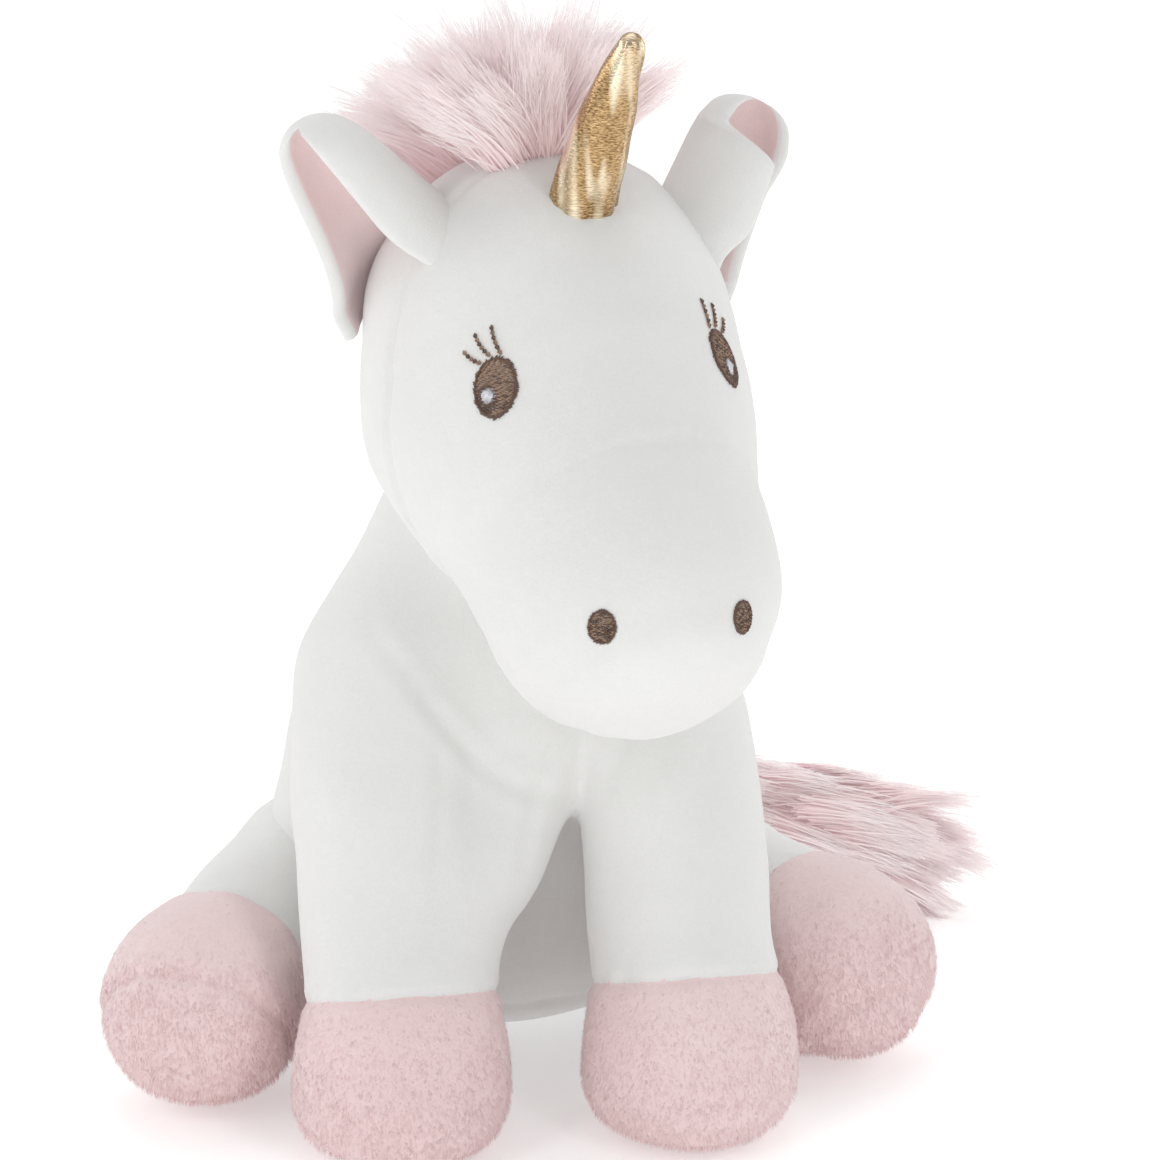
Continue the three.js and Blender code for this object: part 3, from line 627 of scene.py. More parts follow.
def make_body():
    """The panels of torso, neck and forelegs, cut from one skin. Returns them by name."""
    vertices, quads = skin_of(body_field, *BODY_BOX, CELL)
    vertices, faces = cut_skin(vertices, quads, body_planes())
    normals = vertex_normals(vertices, faces)
    vertices = lumpy(vertices, normals, 60)
    for line, depth, width in BODY_FOLDS:
        vertices = fold(vertices, normals, line, depth, width)
    for side in SIDES:
        leg = on_foreleg(vertices, side)
        seam = plane_distance(vertices, *sided(HOOF_SEAM, side))
        vertices = groove(vertices, normals, seam, leg, depth=1.0)
        vertices = groove(vertices, normals, vertices[:, 2] - SOLE_Z, leg, depth=0.5)
    body = torso_only(vertices)
    vertices = groove(vertices, normals, vertices[:, 2] - SEAT_SEAM_Z, body)
    behind = body & (vertices[:, 1] > GUSSET_BACK_Y) & (vertices[:, 2] > SEAT_SEAM_Z)
    vertices = groove(vertices, normals, vertices[:, 0], behind)
    normals = vertex_normals(vertices, faces)
    pieces = {}
    for name, (v, f, n) in split_by(vertices, faces, normals, body_labels).items():
        pieces[name] = new_object(name + "_skin", v, f, n)
    inner = {"seat_panel": ["pellet_bag"], "belly_gusset": ["body_stuffing"]}
    for name in ("side_panel_left", "side_panel_right", "belly_gusset", "seat_panel"):
        dress(pieces[name], WHITE, "white_velboa", "torso", name, *inner.get(name, []))
    neck = dress(pieces["neck_cover"], WHITE, "white_velboa", None, "neck_cover", "neck_stuffing")
    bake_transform(neck)
    for side in SIDES:
        name = f"foreleg_{side}"
        sleeve = dress(pieces[name + "_sleeve"], WHITE, "white_velboa", None,
                       name + "_sleeve", name + "_stuffing")
        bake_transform(sleeve)
        for part in ("hoof", "sole"):
            dress(pieces[f"{name}_{part}"], PINK, "pink_plush", name, f"{name}_{part}")
    return pieces


# ------------------------------------------------------------------ hind legs
HIND_SEAM = (np.array([82, -53, 30.0]), unit(0.5, -0.86, -0.08))
HIND_SOLES = {
    "left": (np.array([94, -98.3, 27.0]), unit(0.29, -0.73, -0.62)),
    "right": (np.array([87.7, -95.4, 43.4]), unit(0.32, -0.73, -0.60)),
}


HIND_BOX = ((18, -118, -2.0), (134, 34, 66.0))  # of the left leg


def make_hind_leg(side):
    """Sleeve, hoof and sole of one hind leg. Returns them by name."""
    low, high = np.array(HIND_BOX)
    if side == "right":
        low[0], high[0] = -high[0], -low[0]
    vertices, quads = skin_of(hind_field(side), low, high, CELL)
    seam, sole = sided(HIND_SEAM, side), sided(HIND_SOLES[side], side)
    vertices, faces = cut_skin(vertices, quads, [(*seam, whole), (*sole, whole)])
    normals = vertex_normals(vertices, faces)
    vertices = lumpy(vertices, normals, 70)
    vertices = groove(vertices, normals, plane_distance(vertices, *seam), 1.0, depth=1.0)
    vertices = groove(vertices, normals, plane_distance(vertices, *sole), 1.0, depth=1.4, width=2.0)
    normals = vertex_normals(vertices, faces)

    def label_of(c):
        labels = np.full(len(c), "sleeve", object)
        labels[plane_distance(c, *seam) > 0] = "hoof"
        labels[plane_distance(c, *sole) > 0] = "sole"
        return labels.astype(str)

    name = f"hind_leg_{side}"
    pieces = {}
    for part, (v, f, n) in split_by(vertices, faces, normals, label_of).items():
        piece = pieces[part] = new_object(f"{name}_{part}_skin", v, f, n)
        extra = [f"{name}_stuffing"] if part == "sleeve" else []
        look, slot_name = (WHITE, "white_velboa") if part == "sleeve" else (PINK, "pink_plush")
        dress(piece, look, slot_name, name, f"{name}_{part}", *extra)
    return pieces


# ------------------------------------------------------------------ head
CROWN_SEAM = (np.array([0, -14, 200.0]), unit(0, -0.997, 0.08))
MUZZLE_SEAM = (np.array([0, -55, 166.0]), unit(0, -0.794, -0.608))
JAW_SEAM = (np.array([0, -39.4, 147.9]), unit(0, -0.608, 0.794))
HEAD_MIDDLE = 5.5  # x of the seam down the back of the head
HEAD_BOX = ((-52, -122, 100), (62, 66, 272))
SEAM_MARGIN = 3  # how far past the crossing seam a seam's plane cuts
BRIDGE = (30, 55)  # the muzzle seam's groove fades in between these heights above the jaw seam
HEAD_FOLDS = [
    ([(24, -79, 195), (8, -82, 199), (-8, -80, 199)], 0.45, 1.8),
    ([(-24, -75, 193), (-31, -68, 188), (-37, -62, 181)], 0.35, 2.4),
]


def make_head():
    """The five panels of the head. Returns its skin in the head's own frame, to sew on."""
    vertices, quads = skin_of(head_field, *HEAD_BOX, CELL)
    front = lambda c: plane_distance(c, *CROWN_SEAM) > -SEAM_MARGIN
    above_jaw = lambda c: front(c) & (plane_distance(c, *JAW_SEAM) > -SEAM_MARGIN)
    back = lambda c: plane_distance(c, *CROWN_SEAM) < SEAM_MARGIN
    vertices, faces = cut_skin(vertices, quads, [
        (*CROWN_SEAM, whole), (*JAW_SEAM, front), (*MUZZLE_SEAM, above_jaw),
        (np.array([HEAD_MIDDLE, 0, 0]), unit(1, 0, 0), back),
    ])
    normals = vertex_normals(vertices, faces)
    vertices = lumpy(vertices, normals, 80, height=0.35)
    for line, depth, width in HEAD_FOLDS:
        vertices = fold(vertices, normals, line, depth, width)
    crown = plane_distance(vertices, *CROWN_SEAM)
    jaw = plane_distance(vertices, *JAW_SEAM)
    muzzle = plane_distance(vertices, *MUZZLE_SEAM)
    vertices = groove(vertices, normals, crown, 1.0, depth=0.9)
    vertices = groove(vertices, normals, jaw, crown > -1, depth=0.8)
    bridge = np.clip((jaw - BRIDGE[0]) / (BRIDGE[1] - BRIDGE[0]), 0, 1)
    vertices = groove(vertices, normals, muzzle, (crown > -1) * bridge, depth=0.25, width=1.0)
    vertices = groove(vertices, normals, vertices[:, 0] - HEAD_MIDDLE, crown < 1, depth=0.9)
    normals = vertex_normals(vertices, faces)

    def label_of(c):
        labels = np.where(c[:, 0] > HEAD_MIDDLE, "head_back_left", "head_back_right").astype(object)
        ahead = plane_distance(c, *CROWN_SEAM) > 0
        labels[ahead] = "face_panel"
        labels[ahead & (plane_distance(c, *MUZZLE_SEAM) > 0)] = "muzzle_panel"
        labels[ahead & (plane_distance(c, *JAW_SEAM) < 0)] = "jaw_gusset"
        return labels.astype(str)

    turn = np.array(HEAD_TURN)[:3, :3]
    for name, (v, f, n) in split_by(vertices, faces, normals, label_of).items():
        piece = new_object(name + "_skin", to_world(v), f, n @ turn.T)
        extra = ["head_stuffing"] if name == "face_panel" else []
        dress(piece, WHITE, "white_velboa", "head", name, *extra)
    return BVHTree.FromPolygons(vertices.tolist(), faces)


# ------------------------------------------------------------------ ears
class Ear:
    """A leaf folded along its back, with its mouth outwards and down. The arc of its section runs
    from the front flap's edge, over the fold, to the back flap's edge."""
    THICK = 4.6
    BURIED = 0.14  # the share of the length that goes on into the head
    STEPS = 32  # sections up to where the tip starts to close, and round the tip
    TIP_STEPS = 14
    ARC_STEPS = 34
    RIM_STEPS = 6
    TIP_POWER = 10  # the larger, the blunter the tip
    FLARE_FADE = 0.18  # the share of the length over which the flare at the base dies away
    PUFF = 0.22  # how much fuller the outside is than the lining, as a share of the thickness

    def __init__(self, side, base, tip, opening, radius, taper, flare, front, back):
        self.side = side
        self.base, self.tip = np.array(base, float), np.array(tip, float)
        self.length = np.linalg.norm(self.tip - self.base)
        self.along = (self.tip - self.base) / self.length
        opening = np.array(opening, float)
        self.open = unit(*(opening - self.along * (opening @ self.along)))
        self.back = np.cross(self.along, self.open) * SIDES[side]
        self.radius, self.taper, self.flare = radius, taper, flare
        self.front_reach, self.back_reach = front, back

    def section(self, u):
        """Points round the closed section at a share u of the length, and which are lining."""
        close = math.sqrt(max(0.0, 1 - max(u, 0) ** self.TIP_POWER))
        flare = self.flare * math.exp(-max(u, 0) / self.FLARE_FADE)
        radius = (self.radius * (1 - self.taper * u) + flare) * close + 0.01
        thick = min(self.THICK * (0.35 + 0.65 * close), radius * 0.9)
        low, high = -self.front_reach(u), self.back_reach(u)
        arc = np.linspace(low, high, self.ARC_STEPS)
        centre = self.base + self.along * (u * self.length)
        out = lambda phi, r: centre + r * (-self.open * math.cos(phi) + self.back * math.sin(phi))
        ring, lining = [], []
        for phi in arc:
            edge = min(phi - low, high - phi) * radius / thick
            puff = thick * (0.5 + self.PUFF * min(1.0, edge))
            ring.append(out(phi, radius + puff))
            lining.append(False)
        for phi, turn in ((high, 1), (low, -1)):
            if turn == -1:
                for inner in arc[::-1]:
                    ring.append(out(inner, radius - thick / 2))
                    lining.append(True)
            for k in range(1, self.RIM_STEPS):
                swing = math.pi * k / self.RIM_STEPS
                reach = math.cos(swing) * turn
                around = turn * math.sin(swing) * 0.5 * thick / radius
                ring.append(out(phi + around, radius + reach * thick / 2))
                lining.append(False)
        return np.array(ring), np.array(lining)

    def build(self):
        lower = np.linspace(-self.BURIED, 0.8, self.STEPS)
        upper = np.linspace(0.82, 1, self.TIP_STEPS) ** 0.6
        shares = np.unique(np.clip(np.concatenate([lower, upper]), -self.BURIED, 1))
        rings = [self.section(u) for u in shares]
        lining = rings[0][1]
        count = len(lining)
        vertices = np.vstack([ring for ring, _ in rings])
        faces, is_lining = [], []
        for row in range(len(rings) - 1):
            for i in range(count):
                j = (i + 1) % count
                a, b = row * count, (row + 1) * count
                face = [a + i, b + i, b + j, a + j]
                faces.append(face if self.side == "right" else face[::-1])
                is_lining.append(lining[i] or lining[j])
        return to_world(vertices), faces, np.array(is_lining)


def make_ear(ear):
    """The lining and the outer fabric of one ear, as two pieces that share their rims."""
    vertices, faces, is_lining = ear.build()
    normals = vertex_normals(vertices, faces)
    parts = split_by(vertices, faces, normals, lambda c: np.where(is_lining, "lining", "outer"))
    for part, (v, f, n) in parts.items():
        name = f"ear_{ear.side}_{part}"
        piece = new_object(name + "_skin", v, f, n)
        look, slot_name = (LINING, "ear_lining") if part == "lining" else (WHITE, "white_velboa")
        dress(piece, look, slot_name, f"ear_{ear.side}", name)


# The right ear opens wide. The left one is folded nearly shut, and its front flap turns back at the
# tip. The reach of each flap is an angle from the fold, and changes along the ear.
EARS = {
    "right": Ear(
        "right", (-29.5, 2, 227.2), (-66, -6, 274.5), (-0.62, -0.45, -0.64), 18.5, 0.5, flare=6,
        front=lambda u: math.radians(eased(u, 0.0, 0.5, 96, 116)),
        back=lambda u: math.radians(eased(u, 0.0, 1.0, 112, 104)),
    ),
    "left": Ear(
        "left", (47.5, -14, 229.5), (70.5, -8, 271), (0.62, -0.45, -0.64), 13.2, 0.12, flare=2,
        front=lambda u: math.radians(eased(u, 0.0, 0.3, 104, 128) + eased(u, 0.64, 0.8, 0, -90)),
        back=lambda u: math.radians(eased(u, 0.5, 0.8, 140, 158)),
    ),
}


# ------------------------------------------------------------------ horn
HORN_KEYS = [
    (4.4, -30, 250, 9.2, 9.2), (4.8, -34, 258, 8.9, 8.9), (5.5, -39, 269, 8.2, 8.2),
    (6.9, -46.5, 285.5, 6.3, 6.3), (8.8, -52, 298, 3.9, 3.9),
]
HORN_STEP = 0.8
HORN_SIDES = 72
HORN_TIP = 3.6  # length of the rounded tip
HORN_GATHERS = 13  # puckers where the horn is sewn to the head
HORN_SEAM_ANGLE = 5.6


def make_horn():
    """A bent cone of foil fabric, gathered at its foot, with a seam up one side."""
    rng = np.random.default_rng(5)
    rows = catmull_rom(HORN_KEYS, HORN_STEP)
    centres = rows[:, :3]
    radii = rows[:, 3].copy()
    tip_steps = np.linspace(0, math.pi / 2, 9)[1:]
    direction = unit(*(centres[-1] - centres[-2]))
    tip_centres = [centres[-1] + direction * HORN_TIP * math.sin(a) for a in tip_steps]
    tip_radii = [max(radii[-1] * math.cos(a), 0.05) for a in tip_steps]
    centres = np.vstack([centres, tip_centres])
    radii = np.concatenate([radii, tip_radii])
    sides = HORN_SIDES
    angles = np.arange(sides) * 2 * math.pi / sides
    around, up = np.cos(angles)[:, None], np.sin(angles)[:, None]
    # Ripples in the foil: times round the horn, pitch up it, phase and height.
    waves = [(rng.integers(2, 7), rng.uniform(0.1, 0.45), rng.uniform(0, 6.3), rng.uniform(0.05, 0.16))
             for _ in range(14)]
    vertices = []
    for i, (centre, radius, tangent) in enumerate(zip(centres, radii, directions_along(centres))):
        height = i * HORN_STEP
        lateral = unit(*(np.array([1.0, 0, 0]) - tangent * tangent[0]))
        depth = np.cross(tangent, lateral)
        ripple = sum(size * np.sin(turns * angles + height * pitch + phase)
                     for turns, pitch, phase, size in waves)
        pucker = 0.16 * np.cos(HORN_GATHERS * angles + 1.0) * math.exp(-max(0, height - 8) / 4.0)
        seam = -0.7 * np.exp(-((angles - HORN_SEAM_ANGLE) / 0.09) ** 2)
        reach = radius + (ripple * 0.55 + pucker + seam) * min(1.0, radius / 4)
        vertices.append(centre + reach[:, None] * (around * lateral + up * depth))
    faces = []
    for row in range(len(centres) - 1):
        here, above = row * sides, (row + 1) * sides
        for i in range(sides):
            j = (i + 1) % sides
            faces.append([here + i, here + j, above + j, above + i])
    faces.append([(len(centres) - 1) * sides + i for i in range(sides)])
    horn = new_object("horn_cover_skin", to_world(np.vstack(vertices)), faces)
    horn.data.materials.append(GOLD)
    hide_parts("horn_cover", "horn_stuffing")
    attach(horn, "head")


# ------------------------------------------------------------------ stitches
class Threads:
    """Short lengths of thread, laid on the head as thin tubes in one mesh."""
    SIDES = 5

    def __init__(self, surface, at, outwards, side):
        self.surface = surface
        self.at = np.array(at, float)
        self.out = unit(*outwards)
        self.up = unit(*(np.array([0, 0, 1.0]) - self.out * self.out[2]))
        self.across = np.cross(self.up, self.out) * SIDES[side]
        self.vertices, self.faces, self.shades = [], [], []

    def on_skin(self, x, y, lift):
        """A point of the patch's plane, pushed onto the skin and lifted off it."""
        start = self.at + self.across * x + self.up * y + self.out * 20
        hit, normal, _, _ = self.surface.ray_cast(Vector(start), Vector(-self.out))
        if hit is None:
            return self.at + self.across * x + self.up * y
        return np.array(hit) + np.array(normal) * lift

    def lay(self, line, radius, shade=0, lift=0.15, bow=0.25):
        """One stitch along a line of plane points; it bows up in its middle."""
        line = np.array(line, float)
        shares = np.linspace(0, 1, len(line))
        points = [self.on_skin(x, y, lift + bow * math.sin(math.pi * t))
                  for (x, y), t in zip(line, shares)]
        self.tube(np.array(points), radius, shade)

    def tube(self, points, radius, shade):
        first = len(self.vertices)
        for i, (point, tangent) in enumerate(zip(points, directions_along(points, 1e-9))):
            side = np.cross(tangent, self.out)
            side /= np.linalg.norm(side) + 1e-9
            over = np.cross(side, tangent)
            share = 0.55 if i in (0, len(points) - 1) else 1.0
            for k in range(self.SIDES):
                angle = 2 * math.pi * k / self.SIDES
                away = math.cos(angle) * side + math.sin(angle) * over
                self.vertices.append(point + radius * share * away)
        for i in range(len(points) - 1):
            for k in range(self.SIDES):
                j = (k + 1) % self.SIDES
                a, b = first + i * self.SIDES, first + (i + 1) * self.SIDES
                self.faces.append([a + k, a + j, b + j, b + k])
                self.shades.append(shade)
        last = first + (len(points) - 1) * self.SIDES
        self.faces.append([first + k for k in range(self.SIDES)][::-1])
        self.faces.append([last + k for k in range(self.SIDES)])
        self.shades += [shade, shade]

    def fill_oval(self, rng, wide, tall, *, pitch=0.42, length=1.9, radius=0.27,
                  leave_out=None, shade_of=None):
        """Staggered rows of short slanting stitches over an oval."""
        rows = int(2 * tall / pitch)
        for row in range(rows + 1):
            y = -tall + row * pitch
            half = wide * math.sqrt(max(0, 1 - (y / tall) ** 2))
            offset = (row % 3) * length / 3 + rng.uniform(-0.1, 0.1)
            x = -half - offset
            while x < half:
                a, b = max(x, -half), min(x + length * 0.96, half)
                slant = 0.28 if row % 2 else -0.28
                middle = (a + b) / 2
                if b - a > 0.4 and not (leave_out and leave_out(middle, y)):
                    shade = shade_of(middle, y) if shade_of else 0
                    wobble = rng.uniform(-0.07, 0.07)
                    line = [(a, y - slant / 2 + wobble), (middle, y + wobble),
                            (b, y + slant / 2 + wobble)]
                    self.lay(line, radius * rng.uniform(0.85, 1.12), shade)
                x += length

    def ring(self, rng, wide, tall, width, radius=0.3, pitch=0.5, shade=0):
        """Slanting satin stitches across the rim of an oval."""
        around = math.pi * (3 * (wide + tall) - math.sqrt((3 * wide + tall) * (wide + 3 * tall)))
        count = int(around / pitch)
        for i in range(count):
            angle = 2 * math.pi * i / count
            uneven = 1 + 0.04 * (rng.uniform(0.92, 1.06) - 1) / 0.06
            lean = angle + 0.08
            outer = np.array([wide * math.cos(lean), tall * math.sin(lean)]) * uneven
            inner = np.array([(wide - width) * math.cos(angle), (tall - width) * math.sin(angle)])
            self.lay([inner, (inner + outer) / 2, outer], radius, shade, bow=0.35)

    def build(self, node, slot_name="brown_thread", looks=(BROWN, DARK_BROWN)):
        piece = new_object(node + "_stitches", to_world(np.array(self.vertices)), self.faces)
        for look in looks:
            piece.data.materials.append(look)
        piece.data.polygons.foreach_set("material_index", self.shades)
        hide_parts(node)
        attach(piece, "head")


# Where each patch of stitches lies, which way it faces, and half its width and height. Lashes and
# highlights are (across, up) in the eye's own plane; a lash has a start, an end and a bend.
EYE_OUT = (0.62, -0.72, 0.3)
EYES = {"right": (-30.8, -52.6, 210.9), "left": (33.0, -60.2, 213.8)}
EYE_HALVES = {"right": (6.6, 8.4), "left": (5.7, 8.2)}
HIGHLIGHTS = {"right": (2.0, -2.2), "left": (0.8, -2.6)}
HIGHLIGHT_HALF = (1.55, 2.2)
LASHES = [
    ((5.0, 6.2), (10.8, 9.2), (0.2, -1.0)),
    ((2.6, 8.3), (8.0, 14.0), (0.9, -0.8)),
    ((-0.6, 8.9), (3.4, 16.4), (1.0, -0.3)),
]
NOSTRIL_OUT = (0.5, -0.85, 0.18)
NOSTRILS = {"right": (-22.9, -100.9, 158.0), "left": (16.2, -104.6, 156.4)}
NOSTRIL_HALF = (3.9, 4.6)


def stitch_iris(surface, side, out, rng):
    """An oval of brown stitches with a rim, that leaves out the highlight."""
    shine, (wide, tall) = HIGHLIGHTS[side], HIGHLIGHT_HALF

    def off_shine(x, y, room=0.25):
        return ((x - shine[0]) / (wide + room)) ** 2 + ((y - shine[1]) / (tall + room)) ** 2

    dark_near = lambda x, y: 1 if off_shine(x, y + 0.9, 1.7) < 1 or rng.random() < 0.16 else 0
    iris = Threads(surface, EYES[side], out, side)
    half = EYE_HALVES[side]
    iris.fill_oval(rng, half[0] - 0.9, half[1] - 0.9, leave_out=lambda x, y: off_shine(x, y) < 1,
                   shade_of=dark_near)
    iris.ring(rng, *half, 1.25, shade=1)
    iris.build(f"iris_{side}")


def stitch_highlight(surface, side, out):
    """An oval of white upright stitches."""
    (x, y), (wide, tall) = HIGHLIGHTS[side], HIGHLIGHT_HALF
    light = Threads(surface, EYES[side], out, side)
    for step in np.arange(-wide, wide + 0.01, 0.34):
        reach = tall * math.sqrt(max(0.06, 1 - (step / (wide + 0.2)) ** 2))
        light.lay([(x + step, y - reach), (x + step, y), (x + step, y + reach)], 0.24, bow=0.4)
    light.build(f"eye_highlight_{side}", "white_thread", [WHITE_THREAD])


def stitch_lash(surface, side, out, number, start, end, bend):
    """A bent row of chain stitches, each link two threads."""
    lash = Threads(surface, EYES[side], out, side)
    middle = (start + end) / 2 + bend
    along = lambda t: (1 - t) ** 2 * start + 2 * t * (1 - t) * middle + t * t * end
    links = max(3, int(np.linalg.norm(end - start) / 1.25))
    normal = unit(*(end - start))[::-1] * [-1, 1]
    for link in range(links):
        a, b = link / links, (link + 1.12) / links
        for turn in (1, -1):
            share = 0.45 * (1 - 0.3 * link / links)
            line = [along(a) + normal * turn * share * 0.2, along((a + b) / 2) + normal * turn * share,
                    along(b) - normal * turn * share * 0.3]
            lash.lay(line, 0.32, shade=link % 2, bow=0.3)
    lash.build(f"eyelash_{number}_{side}")


def stitch_nostril(surface, side, out, rng):
    """A small oval of brown stitches with a rim."""
    nostril = Threads(surface, NOSTRILS[side], out, side)
    wide, tall = NOSTRIL_HALF
    nostril.fill_oval(rng, wide - 0.4, tall - 0.4, length=1.5,
                      shade_of=lambda x, y: int(rng.random() < 0.45))
    nostril.ring(rng, wide, tall, 0.9, radius=0.28, shade=1)
    nostril.build(f"nostril_{side}")


def make_embroidery(surface):
    """Eyes, lashes and nostrils, stitched through the head's skin."""
    for side in SIDES:
        rng = np.random.default_rng(11)
        out = (EYE_OUT[0] * SIDES[side], *EYE_OUT[1:])
        stitch_iris(surface, side, out, rng)
        stitch_highlight(surface, side, out)
        for number, lash in enumerate(LASHES, 1):
            stitch_lash(surface, side, out, number, *np.array(lash))
        stitch_nostril(surface, side, (NOSTRIL_OUT[0] * SIDES[side], *NOSTRIL_OUT[1:]), rng)


# ------------------------------------------------------------------ fur
MANE_LOCKS, MANE_STRANDS = ((230, 130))  # how many, and in each of them
MANE_LINE = [(5.5, -7, 266), (5.5, 8, 268), (5, 24, 262), (4, 38, 250), (3, 47, 232), (2, 49, 214)]
MANE_FROM = np.array([5.0, 6, 222])  # the locks point away from here
MANE_HALF = 12  # half the width of the strip that the locks are sewn in
MANE_LENGTHS = (38, 23)  # at the forehead and at the nape
TAIL_LOCKS, TAIL_STRANDS = ((330, 110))
TAIL_KEYS = [
    (0, 60, 36, 7, 7), (18, 75, 35, 12, 16), (56, 72, 30, 16, 24), (98, 54, 27, 17, 25),
    (141, 33, 22, 13, 21),
]
TABLE_GAP = 0.4  # fur that would reach the table is laid just above it


def ribbons(steps, outward, width, taper, rng, twist=0.2):
    """Flat tapering strands that face outward. steps has a row of points for each, root first."""
    count, length = steps.shape[:2]
    along = unit_rows(steps[:, -1] - steps[:, 0], 1e-9)
    facing = outward + rng.normal(size=(count, 3)) * twist
    across = unit_rows(np.cross(along, facing), 1e-9)
    shares = np.linspace(0, 1, length)
    half = (width / 2)[:, None] * (1 - taper * shares ** 1.5)[None, :]
    left = steps - across[:, None] * half[..., None]
    right = steps + across[:, None] * half[..., None]
    vertices = np.stack([left, right], axis=2).reshape(-1, 3)
    base = np.arange(count)[:, None] * length * 2 + np.arange(length - 1)[None, :] * 2
    faces = np.stack([base, base + 1, base + 3, base + 2], axis=-1).reshape(-1, 4)
    return vertices, faces


def bent(roots, directions, lengths, droop, segments=5):
    """Strand points that start along directions and bend by droop."""
    t = np.linspace(0, 1, segments)[None, :, None]
    straight = roots[:, None] + directions[:, None] * (lengths[:, None, None] * t)
    return straight + droop[:, None] * (lengths[:, None, None] * t ** 2)


class Fur:
    """Long strands, gathered lock by lock into one mesh."""

    def __init__(self, seed):
        self.rng = np.random.default_rng(seed)
        self.locks = []

    def lock(self, roots, strands, droop, outward, tint=None, *, kept, unruly, speckle):
        """Adds one lock; each strand keeps a share of its length between the two in kept."""
        count = len(roots)
        size = np.linalg.norm(strands, axis=1)
        lengths = size * self.rng.uniform(*kept, count)
        droops = droop + self.rng.normal(size=(count, 3)) * unruly
        tint = self.rng.random() if tint is None else tint
        tints = np.clip(tint + self.rng.normal(size=count) * speckle, 0, 1)
        self.locks.append((roots, strands / size[:, None], lengths, droops, tints,
                           np.tile(outward, (count, 1))))

    def finish(self, name, width, body, nodes, in_head):
        roots, directions, lengths, droops, tints, outward = (
            np.concatenate(values) for values in zip(*self.locks))
        steps = bent(roots, directions, lengths, droops)
        shares = np.linspace(0, 1, steps.shape[1])
        steps += self.rng.normal(size=steps.shape) * 0.12 * shares[None, :, None]
        if in_head:
            steps = to_world(steps.reshape(-1, 3)).reshape(steps.shape)
            outward = outward @ np.array(HEAD_TURN)[:3, :3].T
        steps[..., 2] = np.maximum(steps[..., 2], TABLE_GAP)
        widths = width * self.rng.uniform(0.6, 1.2, len(roots))
        vertices, faces = ribbons(steps, outward, widths, 0.8, self.rng)
        piece = new_object(name, vertices, faces.tolist())
        numbers = {"pile_share": np.tile(np.repeat(shares, 2), len(roots)),
                   "pile_tint": np.repeat(tints, len(shares) * 2)}
        for label, values in numbers.items():
            layer = piece.data.attributes.new(label, "FLOAT", "POINT")
            layer.data.foreach_set("value", values.astype(float))
        piece.data.materials.append(FUR)
        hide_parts(*nodes)
        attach(piece, body)


def make_mane():
    """Locks that stand up along the crown and lie back towards the nape."""
    fur = Fur(21)
    rng = fur.rng
    line = catmull_rom(MANE_LINE, 1.0)
    for _ in range(MANE_LOCKS):
        share = rng.random() ** 1.5
        at = line[int(share * (len(line) - 1))]
        side = rng.uniform(-1.1, 0.9)
        root = at + np.array([side * MANE_HALF, 0, -3 - abs(side) * 2.5])
        away = unit(*(at - MANE_FROM))
        spread = np.array([side * 1.0 - 0.12 + rng.normal() * 0.14, rng.normal() * 0.18,
                           rng.normal() * 0.1])
        lift = np.array([0, -0.25 * (1 - share), 0.12])
        direction = unit(*(away + spread + lift))
        length = eased(share, 0.3, 1.0, *MANE_LENGTHS) * rng.uniform(0.8, 1.08) * (1 - 0.1 * abs(side))
        droop = np.array([side * 0.1, 0.05, -0.12]) + rng.normal(size=3) * 0.07
        tint = rng.random()
        tip_gather = rng.uniform(0.45, 1.1)
        offsets = rng.normal(size=(MANE_STRANDS, 3)) * 2.2
        roots = root + offsets
        strands = root + direction * length + offsets * tip_gather - roots
        core = root + direction * length * 0.5 - (MANE_FROM + np.array([0, 6, 30]))
        outward = unit(*(core - direction * (core @ direction) * 0.8))
        fur.lock(roots, strands, droop, outward, tint, kept=(0.72, 1.04), unruly=0.035, speckle=0.15)
    fur.finish("mane_pile_fur", 0.55, "head", ["mane_pile", "mane_backing"], in_head=True)


def make_tail():
    """Locks that run along a swept tube, with their tips turned out of it."""
    fur = Fur(31)
    rng = fur.rng
    rows = catmull_rom(TAIL_KEYS, 1.0)
    centres, wide, tall = rows[:, :3], rows[:, 3], rows[:, 4]
    tangents = directions_along(centres)
    across = unit_rows(np.cross(tangents, (0, 0, 1)))
    last = len(rows) - 1

    def on_ring(i, angle, share):
        sideways = across[i] * wide[i] * math.cos(angle)
        return centres[i] + share * (sideways + np.array([0, 0, tall[i]]) * math.sin(angle))

    for _ in range(TAIL_LOCKS):
        at = int(last * rng.uniform(0, 0.93) ** 0.85)
        angle = rng.uniform(0, 2 * math.pi)
        ahead = min(last, at + int(rng.uniform(20, 32)))
        depth = rng.random() ** 0.35
        start = on_ring(at, angle, 0.6 * depth)
        end = on_ring(ahead, angle, 1.12 * depth)
        direction = unit(*(end - start + tangents[ahead] * 4))
        length = rng.uniform(22, 33)
        offsets = rng.normal(size=(TAIL_STRANDS, 3)) * 2.0
        strands = direction * length + offsets * (rng.uniform(0.3, 0.7) - 1)
        droop = (tangents[ahead] - direction) * 0.3 + np.array([0, 0, -0.1])
        outward = across[at] * math.cos(angle) + np.array([0, 0, math.sin(angle)])
        fur.lock(start + offsets, strands, droop, outward, kept=(0.7, 1.05), unruly=0.04, speckle=0.12)
    fur.finish("tail_pile_fur", 0.6, "tail", ["tail_pile", "tail_backing"], in_head=False)


HOOF_PILE = (150, 1.2)  # strands on a square centimetre, and their length


